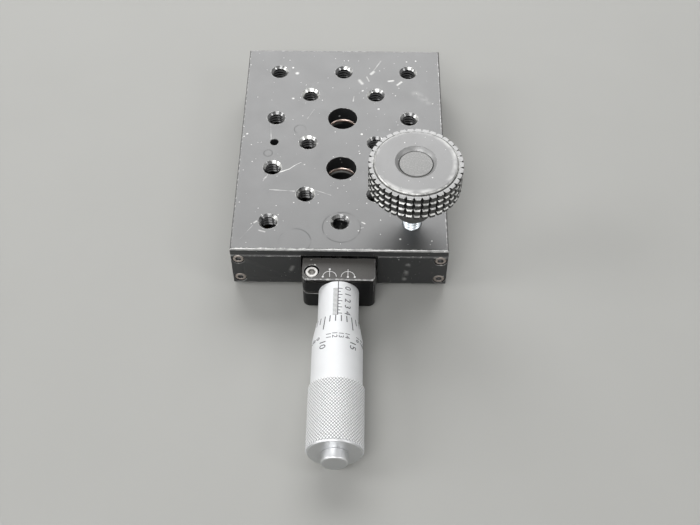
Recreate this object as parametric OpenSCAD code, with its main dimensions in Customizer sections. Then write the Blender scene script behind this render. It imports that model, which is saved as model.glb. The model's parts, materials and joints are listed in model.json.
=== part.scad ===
// Linear translation stage: a drilled deck that rides on ball ways over a fixed base,
// driven by a micrometer head in a split clamp block, with a thumbscrew in one deck hole.
// Frame: +Z up, table at z = 0, origin on the base's underside below the centre of the
// deck's hole grid. The micrometer lies along -Y, on the front side.

/* [Stage] */
// Width of the deck across the travel
deck_w = 76.2; // [74:0.1:80]
// Length of the deck along the travel
deck_l = 101.6; // [98:0.1:108]
// Height of the deck's top face above the table
stage_h = 21.1; // [20.8:0.1:23]
// Thickness of the deck plate over the base
deck_t = 6; // [5.6:0.1:6.4]
// Thickness of the deck's lip over the end covers
lip_t = 3.3; // [2.8:0.1:3.6]
// Thickness of the carriage's side walls
wall_t = 8.1; // [7.6:0.1:9]
// Gap between the carriage's underside and the table
ride_gap = 1.6; // [1:0.1:2]
// Running gap between the deck's underside and the base
deck_gap = 0.5; // [0.3:0.1:0.8]
// Chamfer along the deck's top edges
deck_edge = 0.5; // [0.2:0.1:0.8]
// Length of the full travel
travel = 25.4; // [22:0.1:26]
// Micrometer reading of the pose that is modelled
reading = 11.11; // [9:0.01:13]
// Clearance left at both ends of the travel
end_clear = 0.4; // [0.2:0.1:0.6]

/* [Deck holes] */
// Distance between neighbouring holes along one row
hole_pitch = 25.4; // [25:0.1:26]
// Major diameter of the tapped holes
tap_d = 6.35; // [5:0.05:6.6]
// Mouth diameter of the countersinks on the tapped holes
tap_mouth_d = 7; // [6.8:0.1:7.6]
// Diameter of the two holes that let a key reach the base screws
access_d = 11.1; // [9:0.1:12]
// Diameter of the small plain hole beside the grid
dowel_d = 3.2; // [2:0.1:4]

/* [End covers] */
// Thickness of the end covers
cover_t = 3; // [2.6:0.1:3.4]
// Seam between a cover and the deck's lip
cover_seam = 0.1; // [0.05:0.05:0.3]
// Chamfer around a cover's outer face
cover_edge = 0.4; // [0.2:0.1:0.8]
// Gap between a front cover and the clamp block
cover_gap = 0.8; // [0.5:0.1:1.2]
// Distance of the cover screws from the carriage's side
cover_screw_in = 2.6; // [2.4:0.1:3]
// Distance of the upper cover screws below the deck's top
cover_screw_top = 5.9; // [5.8:0.1:6.4]
// Distance of the lower cover screws above the carriage's underside
cover_screw_low = 3; // [2.6:0.1:3.6]
// Head diameter of the cover screws
cover_head_d = 4.1; // [3.6:0.1:4.2]
// Head height of the cover screws
cover_head_h = 1.6; // [1.2:0.1:2]
// Width across the flats of the cover screws' sockets
cover_hex = 2; // [1.5:0.1:2.2]
// Depth of the cover screws' heads below the cover's face
cover_sink = 0.2; // [0.1:0.05:0.3]
// Thread diameter of the cover screws
cover_thread_d = 2.4; // [2:0.1:2.8]
// Length of thread that a cover screw has in the carriage
cover_bite = 7; // [5:0.5:9]

/* [Ball ways] */
// Diameter of the bearing balls
ball_d = 4.76; // [4.4:0.01:4.8]
// Diameter of the hardened rods
rod_d = 3; // [2.6:0.1:3]
// Running clearance between a ball and its rods
way_clear = 0.03; // [0.02:0.01:0.05]
// Gap between a ball and the flat beside it
ball_side_gap = 0.12; // [0.1:0.01:0.2]
// Height of the ball centres above the middle of the carriage's side walls
way_off = 0.15; // [0:0.05:0.4]
// Seat clearance of a rod in its groove
seat_clear = 0.02; // [0.01:0.01:0.04]
// Number of balls in one cage
ball_n = 8; // [4:1:8]
// Distance between neighbouring balls
ball_pitch = 6.5; // [5.5:0.1:6.6]
// Length of a cage strip
cage_l = 54; // [52:0.5:55]
// Thickness of a cage strip
cage_t = 1.2; // [0.8:0.1:1.6]
// Height of a cage strip
cage_h = 8.4; // [7:0.1:9]
// Running clearance of a ball in its cage
cage_clear = 0.05; // [0.03:0.01:0.08]
// Distance of the carriage rods from the end covers
rod_end_gap = 0.3; // [0.2:0.1:1]
// Distance of the base rods from the ends of the base
rod_inset = 1; // [0.5:0.1:2]

/* [Base] */
// Chamfer around the base's underside
base_edge = 0.6; // [0.3:0.1:1]
// Diameter of the two screw holes through the base
base_hole_d = 6.9; // [6.4:0.1:7.2]
// Diameter of the counterbores over the base holes
base_bore_d = 11.1; // [10:0.1:11.4]
// Thickness of the base under the counterbores
base_floor = 6; // [4:0.1:8]
// Half width of the slot for the spindle and the push lug
slot_half = 6.5; // [6.2:0.1:7]
// Depth of that slot's floor below the micrometer's axis
slot_drop = 4.8; // [4.6:0.1:5]

/* [Clamp block] */
// Width of the clamp block
block_w = 25.4; // [24:0.1:27]
// Depth of the clamp block along the micrometer
block_d = 10; // [9:0.1:12]
// Gap between the deck's front edge and the block at rest
block_gap = 0.2; // [0.1:0.1:0.5]
// Running gap between the block and the deck's lip
block_play = 0.7; // [0.5:0.1:1]
// Height of the block's underside above the table
block_rise = 2; // [1.7:0.1:2.3]
// Radius of the block's vertical corners
block_r = 2.4; // [1:0.1:3]
// Chamfer along the block's top front edge
block_edge = 0.7; // [0.3:0.1:1]
// Width of the slit that lets the jaws close
slit_w = 1.2; // [0.8:0.1:1.6]
// Length of the foot under the base's neck
foot_l = 8; // [7:0.1:9]
// Thickness of that foot
foot_t = 3.2; // [3:0.1:3.2]
// Head diameter of the foot's two screws
foot_head_d = 4.6; // [4.2:0.1:4.8]
// Head height of the foot's screws
foot_head_h = 1.7; // [1.4:0.1:1.8]
// Width across the flats of the foot screws' sockets
foot_hex = 2; // [1.5:0.1:2.2]
// Thread diameter of the foot's screws
foot_thread_d = 2.8; // [2.4:0.1:3]
// Length of thread that a foot screw has in the base
foot_bite = 6; // [4:0.5:7]
// Thickness of the block left under the clamp screw's tip
jaw_floor = 2; // [1.5:0.1:3]
// Distance of the clamp screw from the block's left side
clamp_in = 3.3; // [3.1:0.1:3.5]
// Distance of the clamp screw behind the block's front face
clamp_back = 4.1; // [3.8:0.1:5]
// Head diameter of the clamp screw
clamp_head_d = 4.6; // [4:0.1:4.8]
// Head height of the clamp screw
clamp_head_h = 2.8; // [2.2:0.1:3]
// Width across the flats of the clamp screw's socket
clamp_hex = 2.38; // [2:0.02:2.5]
// Thread diameter of the clamp screw
clamp_thread_d = 2.85; // [2.5:0.05:3]
// Diameter of the counterbore around the clamp screw
clamp_cbore_d = 5.3; // [5:0.1:5.6]
// Depth of the clamp screw's head below the block's top
clamp_sink = 0.35; // [0.2:0.05:0.6]

/* [Micrometer] */
// Height of the micrometer's axis above the middle of the clamp block
mic_off = 0.55; // [0.3:0.05:0.7]
// Diameter of the stem in the clamp block
stem_d = 9.5; // [9:0.1:10]
// Clearance of the stem in the clamp block
stem_clear = 0.02; // [0.01:0.01:0.05]
// Diameter of the graduated sleeve
sleeve_d = 14; // [13.4:0.1:14.2]
// Wall thickness of the graduated sleeve
sleeve_t = 0.7; // [0.5:0.1:1]
// Distance of the sleeve's zero line from the clamp block
zero_gap = 3; // [2.5:0.1:4]
// Length of sleeve left inside the thimble at full reading
sleeve_lap = 2.5; // [2:0.1:4]
// Length of the stem's threaded end behind the sleeve, which holds the adjusting nut
nut_l = 4; // [3:0.5:5]
// Diameter of the adjusting nut
nut_d = 13.2; // [12:0.1:13.4]
// Diameter of the stem's threaded end
nut_thread_d = 10; // [9.4:0.1:10.6]
// Width of the slots for a key in the nut's end
nut_slot_w = 1; // [0.8:0.1:1.4]
// Depth of those slots
nut_slot_t = 1.1; // [0.8:0.1:1.4]
// Length of spindle thread left in the stem at full reading
thread_lap = 3.4; // [3:0.1:4]
// Running clearance between sleeve and thimble
thimble_clear = 0.1; // [0.05:0.01:0.1]
// Wall thickness of the thimble at its graduated edge
thimble_lip = 0.35; // [0.3:0.05:0.5]
// Length of the thimble's graduated bevel
bevel_l = 6.8; // [5:0.1:8]
// Diameter of the thimble's smooth barrel
barrel_d = 17.2; // [16.8:0.1:17.6]
// Length of the smooth barrel with its bevel
barrel_l = 24.3; // [20:0.1:26]
// Diameter over the thimble's knurled grip
grip_d = 18.6; // [17.8:0.1:19]
// Length of the knurled grip
grip_l = 23.2; // [22:0.1:26]
// Shoulder chamfer at both ends of the grip
grip_edge = 1; // [0.6:0.1:1.4]
// Thickness of the thimble's end wall
thimble_end_t = 4.5; // [3.5:0.1:6]
// Diameter of the thimble's end cap
cap_d = 8.7; // [8:0.1:9.4]
// Length of the end cap
cap_l = 3.5; // [3:0.1:4.5]
// Chamfer around the end cap
cap_edge = 0.5; // [0.2:0.1:1]
// Diameter of the end cap's screw
cap_thread_d = 3.5; // [3:0.1:4]
// Length of the end cap's screw
cap_bite = 9; // [6:0.5:10]
// Diameter of the spindle's end in the thimble's end wall
spindle_boss_d = 6; // [5.6:0.1:6.4]
// Diameter of the spindle's ground journal
spindle_d = 6.35; // [6:0.05:6.5]
// Chamfer at the spindle's front end and at the start of its thread
spindle_edge = 0.5; // [0.3:0.1:0.8]
// Diameter of the spindle's screw thread
thread_d = 7.6; // [7:0.1:8]
// Diameter of the spindle's ball tip
tip_d = 4; // [3.6:0.1:4.4]
// Distance that the ball tip stands out of the spindle
tip_out = 1.45; // [1.3:0.05:1.6]
// Distance between the ball tip and the push pad
tip_gap = 0.05; // [0.02:0.01:0.1]
// Running clearance of the spindle in the stem
spindle_clear = 0.05; // [0.02:0.01:0.08]

/* [Push lug] */
// Thickness of the lug that the micrometer pushes
lug_t = 3.5; // [3:0.1:3.8]
// Reach of the lug below the micrometer's axis
lug_reach = 4.1; // [3.6:0.1:4.2]
// Gap between the lug and the relief cut for the clamp block
lug_back_gap = 1.6; // [1:0.1:1.8]
// Length of slot left behind the lug at full reading
slot_spare = 0.2; // [0.2:0.1:1]
// Side clearance of the lug in the base's slot
lug_clear = 0.6; // [0.4:0.1:1]
// Diameter of the hardened push pad
pad_d = 6; // [5:0.1:7]
// Thickness of the push pad
pad_t = 2; // [1.5:0.1:2.4]
// Depth of the pad's seat in the lug
pad_seat = 0.6; // [0.4:0.1:0.8]

/* [Return springs] */
// Shift of a spring outwards from midway between the spindle slot and the base's side
spring_shift = 0.25; // [0:0.05:0.6]
// Height of the springs above the middle of the base
spring_off = 2.2; // [1.6:0.1:2.6]
// Outer diameter of a spring
spring_d = 5; // [4:0.1:5.2]
// Wire diameter of a spring
wire_d = 0.8; // [0.6:0.05:1]
// Distance between neighbouring turns of a stretched spring
turn_pitch = 1.1; // [1:0.05:1.4]
// Side clearance of a spring in its slot
spring_clear = 0.8; // [0.6:0.1:1]
// Depth of the spring slots' floor below the springs' axis
spring_drop = 5; // [4:0.1:6]
// Diameter of the posts that hold the springs
post_d = 2; // [1.6:0.1:2.2]
// Length of post past the spring's axis
post_over = 2; // [1.5:0.1:2.4]
// Length of post pressed into its seat
post_seat = 2; // [1.5:0.1:2.5]
// Distance of the front posts behind the base's front face
post_in = 5; // [4:0.1:6]
// Distance of the rear posts in front of the rear cover
post_back = 6.3; // [5:0.1:8]
// Radius of the ring on each end of a spring
eye_r = 1.8; // [1.7:0.1:2]

/* [Thumbscrew] */
// Diameter over the knob's teeth
knob_d = 31.6; // [28:0.1:33]
// Diameter of the knob's smooth top disc
knob_top_d = 28; // [25:0.1:28.4]
// Height of the knob's top disc above the deck
knob_top_h = 31.8; // [29:0.1:36]
// Height of the top disc above the toothed rim
knob_step = 0.7; // [0.6:0.1:1.2]
// Depth of the groove under the edge of the top disc
disc_groove = 0.4; // [0.2:0.1:0.5]
// Chamfer on the edges of the disc, the hub and the plug
knob_edge = 0.3; // [0.1:0.05:0.4]
// Height of the toothed rim
rim_h = 9.9; // [8:0.1:12]
// Number of tooth rows on the rim
rim_rows = 4; // [3:1:5]
// Number of teeth in one row
rim_teeth = 38; // [30:1:42]
// Half width of a tooth's tip, as a share of the tooth pitch
tooth_tip = 0.3; // [0.2:0.01:0.36]
// Half width of a tooth's root, as a share of the tooth pitch
tooth_root = 0.44; // [0.4:0.01:0.48]
// Width of the grooves between the tooth rows
rib_w = 0.7; // [0.4:0.1:1]
// Depth of the grooves between the teeth
tooth_depth = 1.1; // [0.6:0.1:1.4]
// Diameter of the hub under the knob
hub_d = 12.7; // [11:0.1:14]
// Gap between the hub and the deck
hub_gap = 7.4; // [5:0.1:10]
// Chamfer on the stud's lower end
stud_point = 0.8; // [0.4:0.1:1.2]
// Length of stud in the knob under the plug's seat
stud_grip = 2.5; // [1.5:0.1:4]
// Thread diameter clearance of the stud in its deck hole
stud_clear = 0.06; // [0.04:0.01:0.1]
// Mouth diameter of the recess in the knob's top
recess_d = 14.1; // [13:0.1:16]
// Diameter of the plug in that recess
plug_d = 11.1; // [10:0.1:11.6]
// Depth of the plug's face below the knob's top
plug_drop = 0.9; // [0.5:0.1:1.4]
// Thickness of the plug
plug_t = 2.2; // [1.5:0.1:3]
// Clearance of the plug in its seat
plug_clear = 0.05; // [0.03:0.01:0.1]
// Width of the recess's floor round the plug
recess_floor = 0.2; // [0.1:0.05:0.4]

/* [Hidden] */
$fn = 48;

anodised = "#1c1c1f";
anodised_soft = "#232326";
chrome = "#c9ccd0";
steel = "#a8abae";
bright = "#dfe1e3";
bronze = "#8a7460";
cage_brass = "#b59a55";

// A little more than nothing, so that a cut passes its face
over = 0.5;
// Share of a screw's head that is left under its socket
socket_floor = 0.35;
// Edge break of the screws' heads
head_edge = 0.25;
// Extra width of a plain hole over the screw that passes it
hole_slack = 0.2;
// Extra depth of a hole past the end of its screw
depth_slack = 0.3;
// Diameter by which a screw's plain thread stays under its tapped hole
thread_slack = 0.04;
// Depth of the spindle's end inside the thimble's end wall
end_recess = 0.5;
// Length of the stem's thread that stands out of the adjusting nut
nut_end_gap = 0.3;
// Depth of the foot screws' heads below the foot's underside
head_sink = 0.1;
// Thread that runs out behind the spindle's own thread
thread_run = 1;
// Share of the travel on each side of the modelled pose
travel_in = reading;
travel_out = travel - reading;

// Levels of the carriage and the base
ceiling_z = stage_h - deck_t;
base_top = ceiling_z - deck_gap;
lip_z = stage_h - lip_t;
cover_top = lip_z - cover_seam;
deck_half_w = deck_w / 2;
deck_half_l = deck_l / 2;
wall_half_l = deck_half_l - cover_t;
cover_seat_y = deck_half_l - cover_head_h - cover_sink;

// Ways
way_gap = ball_d + 2 * ball_side_gap;
inner_x = deck_half_w - wall_t;
base_half = inner_x - way_gap;
way_x = inner_x - way_gap / 2;
way_h = (ride_gap + ceiling_z) / 2 + way_off;
rod_off = (ball_d / 2 + rod_d / 2 + way_clear) / sqrt(2);
vee_reach = (rod_d / 2 + seat_clear) * sqrt(2);

// Ends of the base's wide part, clear of the covers at both ends of the travel
base_front = -wall_half_l + travel_in + end_clear;
base_rear = wall_half_l - travel_out - end_clear;
base_mid = (base_front + base_rear) / 2;

// Clamp block
block_back = -deck_half_l - block_gap;
block_front = block_back - block_d;
block_top = lip_z - block_play;
notch_half = block_w / 2 + cover_gap;
notch_back = block_back + travel_out + end_clear;
foot_z = block_rise + foot_t;
mic_h = (block_rise + block_top) / 2 + mic_off;
slot_floor = mic_h - slot_drop;
foot_screw_x = (slot_half + block_w / 2) / 2;
foot_screw_y = block_back + foot_l / 2;
foot_seat_z = block_rise + foot_head_h + head_sink;
clamp_x = -block_w / 2 + clamp_in;
clamp_y = block_front + clamp_back;
clamp_seat_z = block_top - clamp_sink - clamp_head_h;
clamp_tip_z = block_rise + jaw_floor;
stem_bore_r = stem_d / 2 + stem_clear;

// Push lug, pad and ball tip, one behind the other along the axis
lug_front = notch_back + lug_back_gap;
lug_back = lug_front + lug_t;
pad_front = lug_front + pad_seat - pad_t;
tip_y = pad_front - tip_gap - tip_d / 2;
spindle_front = pad_front - tip_gap - tip_out;
slot_back = lug_back + travel_in + slot_spare;
lug_drop = mic_h - lug_reach;

// Micrometer
zero_y = block_front - zero_gap;
thimble_edge = zero_y - reading;
sleeve_end = zero_y - travel - sleeve_lap;
stem_body_d = sleeve_d - 2 * sleeve_t - 2 * seat_clear;
stem_end = sleeve_end - nut_l;
thread_start = stem_end + travel_out + thread_lap;
relief_start = thread_start + travel_in + thread_run;
barrel_end = thimble_edge - barrel_l;
thimble_end = barrel_end - grip_l;
cavity_end = thimble_end + thimble_end_t;
spindle_end = thimble_end + end_recess;
thimble_bore_r = sleeve_d / 2 + thimble_clear;

// Springs and their posts
spring_x = (slot_half + base_half) / 2 + spring_shift;
spring_h = base_top / 2 + spring_off;
front_post_y = base_front + post_in;
rear_post_y = wall_half_l - post_back;
spring_floor = spring_h - spring_drop;
spring_slot_half = spring_d / 2 + spring_clear;

// Thumbscrew, in the front right hole of the grid
screw_x = hole_pitch;
screw_y = -1.5 * hole_pitch;
stud_d = tap_d - 2 * stud_clear;
knob_top = stage_h + knob_top_h;
rim_top = knob_top - knob_step;
rim_low = rim_top - rim_h;
hub_low = stage_h + hub_gap;
stud_end = knob_top - plug_drop - plug_t - stud_grip;
recess_low_d = plug_d + 2 * recess_floor;
row_h = rim_h / rim_rows;
groove_r = knob_d / 2 - tooth_depth;

// Rows of deck holes, as [x in half pitches, y in half pitches]
grid = [
    for (row = [-3 : 3])
        for (col = (row % 2 == 0 ? [-1, 1] : abs(row) == 3 ? [-2, 0, 2] : [-2, 2]))
            [col * hole_pitch / 2, row * hole_pitch / 2]
];

// A solid drawn as an outline in the XZ plane and swept from y0 to y1
module along_y(y0, y1) {
    translate([0, y1, 0])
        rotate([90, 0, 0])
            linear_extrude(y1 - y0)
                children();
}

// A solid drawn as an outline in the YZ plane and swept over a width about x = 0
module across_x(w) {
    translate([-w / 2, 0, 0])
        rotate([90, 0, 90])
            linear_extrude(w)
                children();
}

// A plain box between two corners
module block(low, high) {
    translate(low)
        cube(high - low);
}

// A revolved solid about the micrometer's axis: outline points are [radius, y]
module on_axis() {
    translate([0, 0, mic_h])
        rotate([-90, 0, 0])
            rotate_extrude($fn = 96)
                children();
}

// A straight round bar or cutter along Y
module bar_y(r, y0, y1, x, z) {
    translate([x, y1, z])
        rotate([90, 0, 0])
            cylinder(r = r, h = y1 - y0);
}

// A socket head screw that points down, with its seat at the origin
module socket_screw(head_d, head_h, hex, thread, bite) {
    difference() {
        union() {
            cylinder(d = head_d, h = head_h - head_edge);
            translate([0, 0, head_h - head_edge])
                cylinder(d1 = head_d, d2 = head_d - 2 * head_edge, h = head_edge);
            translate([0, 0, -bite])
                cylinder(d = thread, h = bite);
        }
        translate([0, 0, head_h * socket_floor])
            cylinder(d = hex / cos(30), h = head_h, $fn = 6);
    }
}

// The two vee grooves of one way, drawn in XZ; side is +1 for a groove that opens to +X
module vee_pair(side, face_x) {
    rod_x = way_x - side * rod_off;
    apex = rod_x - side * vee_reach;
    mouth = abs(face_x - apex) + over;
    for (up = [-1, 1])
        translate([apex, way_h + up * rod_off])
            polygon([[0, 0], [side * mouth, mouth], [side * mouth, -mouth]]);
}

module way_rods(side, y0, y1) {
    for (up = [-1, 1])
        bar_y(rod_d / 2, y0, y1, way_x - side * rod_off, way_h + up * rod_off);
}

module base_body() {
    color(anodised)
    difference() {
        union() {
            intersection() {
                along_y(base_front, base_rear)
                    base_section(base_half);
                across_x(2 * base_half)
                    base_side();
            }
            block([-block_w / 2, block_back, block_rise], [block_w / 2, base_front + over, base_top]);
        }
        for (flip = [0, 1])
            mirror([flip, 0, 0])
                along_y(base_front - over, base_rear + over)
                    vee_pair(1, base_half);
        block([-slot_half, block_back - over, slot_floor], [slot_half, slot_back, base_top + over]);
        block([-block_w / 2 - over, block_back - over, 0], [block_w / 2 + over, block_back + foot_l, foot_z]);
        for (side = [-1, 1]) {
            translate([side * foot_screw_x, foot_screw_y, foot_z - over])
                cylinder(d = foot_thread_d, h = foot_bite + over + depth_slack);
            translate([0, side * hole_pitch / 2, -over])
                cylinder(d = base_hole_d, h = base_top + 2 * over);
            translate([0, side * hole_pitch / 2, base_floor])
                cylinder(d = base_bore_d, h = base_top);
            spring_slot(side);
            translate([side * spring_x, front_post_y, spring_floor - post_seat])
                cylinder(d = post_d + 2 * seat_clear, h = spring_drop);
        }
    }
}

module base_section(half) {
    polygon([
        [-half + base_edge, 0], [half - base_edge, 0], [half, base_edge],
        [half, base_top], [-half, base_top], [-half, base_edge]
    ]);
}

module base_side() {
    polygon([
        [base_front + base_edge, 0], [base_rear - base_edge, 0], [base_rear, base_edge],
        [base_rear, base_top], [base_front, base_top], [base_front, base_edge]
    ]);
}

module spring_slot(side) {
    x = side * spring_x;
    block(
        [x - spring_slot_half, front_post_y, spring_floor],
        [x + spring_slot_half, base_rear + over, base_top + over]
    );
    translate([x, front_post_y, spring_floor])
        cylinder(r = spring_slot_half, h = base_top);
}

module base_rods() {
    color(steel)
    for (flip = [0, 1])
        mirror([flip, 0, 0])
            way_rods(1, base_front + rod_inset, base_rear - rod_inset);
}

module base_spring_posts() {
    color(steel)
    for (side = [-1, 1])
        translate([side * spring_x, front_post_y, spring_floor - post_seat])
            cylinder(d = post_d, h = post_seat + spring_drop + post_over);
}

module clamp_block() {
    color(anodised)
    difference() {
        union() {
            intersection() {
                translate([0, 0, block_rise])
                    linear_extrude(block_top - block_rise)
                        block_plan();
                across_x(block_w + 2)
                    block_side();
            }
            block([-block_w / 2, block_back - over, block_rise], [block_w / 2, block_back + foot_l, foot_z]);
        }
        bar_y(stem_bore_r, block_front - over, block_back + over, 0, mic_h);
        block([-block_w, block_front - over, mic_h - slit_w / 2], [0, block_back + over, mic_h + slit_w / 2]);
        translate([clamp_x, clamp_y, clamp_tip_z - depth_slack])
            cylinder(d = clamp_thread_d, h = block_top);
        translate([clamp_x, clamp_y, clamp_seat_z])
            cylinder(d = clamp_cbore_d, h = block_top);
        for (side = [-1, 1])
            translate([side * foot_screw_x, foot_screw_y, 0]) {
                cylinder(d = foot_head_d + hole_slack, h = foot_seat_z);
                cylinder(d = foot_thread_d + hole_slack, h = foot_z + over);
            }
    }
}

// Plan of the block: the two front corners are round, the back is square
module block_plan() {
    half = block_w / 2;
    union() {
        translate([-half, block_front + block_r])
            square([block_w, block_d - block_r]);
        translate([-half + block_r, block_front])
            square([block_w - 2 * block_r, block_d]);
        for (side = [-1, 1])
            translate([side * (half - block_r), block_front + block_r])
                circle(r = block_r);
    }
}

module block_side() {
    polygon([
        [block_front, block_rise], [block_back, block_rise], [block_back, block_top],
        [block_front + block_edge, block_top], [block_front, block_top - block_edge]
    ]);
}

module clamp_block_screws() {
    color(steel)
    for (side = [-1, 1])
        translate([side * foot_screw_x, foot_screw_y, foot_seat_z])
            mirror([0, 0, 1])
                socket_screw(
                    foot_head_d, foot_head_h, foot_hex, foot_thread_d - thread_slack,
                    foot_t - foot_head_h + foot_bite
                );
}

module clamp_screw() {
    color(steel)
    translate([clamp_x, clamp_y, clamp_seat_z + seat_clear])
        socket_screw(
            clamp_head_d, clamp_head_h, clamp_hex, clamp_thread_d - thread_slack,
            clamp_seat_z - clamp_tip_z
        );
}

module carriage_body() {
    color(anodised)
    difference() {
        union() {
            intersection() {
                along_y(-deck_half_l, deck_half_l)
                    carriage_section();
                across_x(deck_w)
                    carriage_side();
            }
            block(
                [-slot_half + lug_clear, lug_front, lug_drop],
                [slot_half - lug_clear, lug_back, ceiling_z + over]
            );
        }
        for (flip = [0, 1])
            mirror([flip, 0, 0])
                along_y(-wall_half_l - over, wall_half_l + over)
                    vee_pair(-1, inner_x);
        block([-notch_half, -deck_half_l - over, 0], [notch_half, notch_back, lip_z]);
        bar_y(pad_d / 2 + seat_clear, lug_front - over, lug_front + pad_seat, 0, mic_h);
        deck_holes();
        cover_screw_holes(cover_thread_d, wall_half_l - cover_bite - depth_slack, wall_half_l + over);
        for (side = [-1, 1])
            translate([side * spring_x, rear_post_y, ceiling_z - over])
                cylinder(d = post_d + 2 * seat_clear, h = post_seat + over);
    }
}

// Section of the carriage across the travel: a plate with two side walls
module carriage_section() {
    polygon([
        [-deck_half_w, ride_gap], [-inner_x, ride_gap], [-inner_x, ceiling_z],
        [inner_x, ceiling_z], [inner_x, ride_gap], [deck_half_w, ride_gap],
        [deck_half_w, stage_h - deck_edge], [deck_half_w - deck_edge, stage_h],
        [-deck_half_w + deck_edge, stage_h], [-deck_half_w, stage_h - deck_edge]
    ]);
}

// Outline of the carriage along the travel: a lip covers the end covers
module carriage_side() {
    polygon([
        [-wall_half_l, 0], [wall_half_l, 0], [wall_half_l, lip_z], [deck_half_l, lip_z],
        [deck_half_l, stage_h - deck_edge], [deck_half_l - deck_edge, stage_h],
        [-deck_half_l + deck_edge, stage_h], [-deck_half_l, stage_h - deck_edge],
        [-deck_half_l, lip_z], [-wall_half_l, lip_z]
    ]);
}

module deck_holes() {
    mouth = (tap_mouth_d - tap_d) / 2;
    for (at = grid)
        translate([at[0], at[1], ceiling_z - over]) {
            cylinder(d = tap_d, h = deck_t + 2 * over);
            translate([0, 0, deck_t + over - mouth])
                cylinder(d1 = tap_d, d2 = tap_mouth_d + 2 * over, h = mouth + over);
        }
    for (side = [-1, 1])
        translate([0, side * hole_pitch / 2, ceiling_z - over])
            cylinder(d = access_d, h = deck_t + 2 * over);
    translate([-hole_pitch, 0, ceiling_z - over])
        cylinder(d = dowel_d, h = deck_t + 2 * over);
}

// Places of the four cover screws at one end, as [x, z]
function cover_spots() = [
    for (side = [-1, 1])
        for (z = [stage_h - cover_screw_top, ride_gap + cover_screw_low])
            [side * (deck_half_w - cover_screw_in), z]
];

module cover_screw_holes(d, y0, y1) {
    for (end = [0, 1])
        mirror([0, end, 0])
            for (at = cover_spots())
                bar_y(d / 2, y0, y1, at[0], at[1]);
}

// An end cover from x0 to x1, on the +Y end
module end_cover(x0, x1) {
    difference() {
        intersection() {
            block([x0, wall_half_l, ride_gap], [x1, deck_half_l, cover_top]);
            across_x(deck_w + 2)
                polygon([
                    [wall_half_l, ride_gap], [deck_half_l - cover_edge, ride_gap],
                    [deck_half_l, ride_gap + cover_edge], [deck_half_l, cover_top - cover_edge],
                    [deck_half_l - cover_edge, cover_top], [wall_half_l, cover_top]
                ]);
        }
        cover_screw_holes(cover_thread_d + hole_slack, wall_half_l - over, deck_half_l + over);
        cover_screw_holes(cover_head_d + 2 * hole_slack, cover_seat_y, deck_half_l + over);
    }
}

module front_cover_left() {
    color(anodised_soft)
    mirror([0, 1, 0])
        end_cover(-deck_half_w, -notch_half);
}

module front_cover_right() {
    color(anodised_soft)
    mirror([0, 1, 0])
        end_cover(notch_half, deck_half_w);
}

module rear_cover() {
    color(anodised_soft)
    end_cover(-deck_half_w, deck_half_w);
}

// The four screws of the cover at the +Y end
module cover_screws() {
    for (at = cover_spots())
        translate([at[0], cover_seat_y, at[1]])
            rotate([-90, 0, 0])
                socket_screw(
                    cover_head_d, cover_head_h, cover_hex, cover_thread_d - thread_slack,
                    cover_t - cover_head_h + cover_bite
                );
}

module front_cover_screws() {
    color(bronze)
    mirror([0, 1, 0])
        cover_screws();
}

module rear_cover_screws() {
    color(bronze)
    cover_screws();
}

module carriage_rods_right() {
    color(steel)
    way_rods(-1, -wall_half_l + rod_end_gap, wall_half_l - rod_end_gap);
}

module carriage_rods_left() {
    color(steel)
    mirror([1, 0, 0])
        way_rods(-1, -wall_half_l + rod_end_gap, wall_half_l - rod_end_gap);
}

module carriage_spring_posts() {
    color(steel)
    for (side = [-1, 1])
        translate([side * spring_x, rear_post_y, spring_h - post_over])
            cylinder(d = post_d, h = ceiling_z + post_seat - spring_h + post_over);
}

module push_pad() {
    color(bright)
    bar_y(pad_d / 2, pad_front, pad_front + pad_t, 0, mic_h);
}

// Centres of the balls along one way
function ball_spots() = [for (i = [0 : ball_n - 1]) base_mid + (i - (ball_n - 1) / 2) * ball_pitch];

module ball_cage() {
    difference() {
        block(
            [way_x - cage_t / 2, base_mid - cage_l / 2, way_h - cage_h / 2],
            [way_x + cage_t / 2, base_mid + cage_l / 2, way_h + cage_h / 2]
        );
        for (y = ball_spots())
            translate([way_x - cage_t, y, way_h])
                rotate([0, 90, 0])
                    cylinder(d = ball_d + 2 * cage_clear, h = 2 * cage_t);
    }
}

module bearing_balls() {
    for (y = ball_spots())
        translate([way_x, y, way_h])
            sphere(d = ball_d);
}

module ball_cage_left() {
    color(cage_brass)
    mirror([1, 0, 0])
        ball_cage();
}

module ball_cage_right() {
    color(cage_brass)
    ball_cage();
}

module bearing_balls_left() {
    color(bright)
    mirror([1, 0, 0])
        bearing_balls();
}

module bearing_balls_right() {
    color(bright)
    bearing_balls();
}

// One close-wound extension spring with a ring round the post at each end
module return_spring() {
    y0 = front_post_y + eye_r + wire_d / 2;
    y1 = rear_post_y - eye_r - wire_d / 2;
    turns = floor((y1 - y0) / turn_pitch);
    pitch = (y1 - y0) / turns;
    outer = spring_d / 2;
    valley = outer - wire_d * 0.4;
    translate([spring_x, 0, spring_h]) {
        translate([0, y0, 0])
            rotate([-90, 0, 0])
                rotate_extrude($fn = 24)
                    polygon(concat(
                        [[outer - wire_d, 0]],
                        [for (i = [0 : turns - 1]) each [
                            [valley, i * pitch], [outer, (i + 0.3) * pitch], [outer, (i + 0.7) * pitch]
                        ]],
                        [[valley, turns * pitch], [outer - wire_d, turns * pitch]]
                    ));
        for (y = [front_post_y, rear_post_y])
            translate([0, y, 0])
                rotate_extrude($fn = 32)
                    translate([eye_r, 0])
                        circle(d = wire_d, $fn = 16);
        for (end = [[y0, 1], [y1, -1]])
            translate([0, end[0], 0])
                rotate([-90 * end[1], 0, 0])
                    translate([0, 0, -wire_d])
                        cylinder(d = spring_d - wire_d, h = 1.6 * wire_d);
    }
}

module return_spring_right() {
    color(steel)
    return_spring();
}

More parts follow.
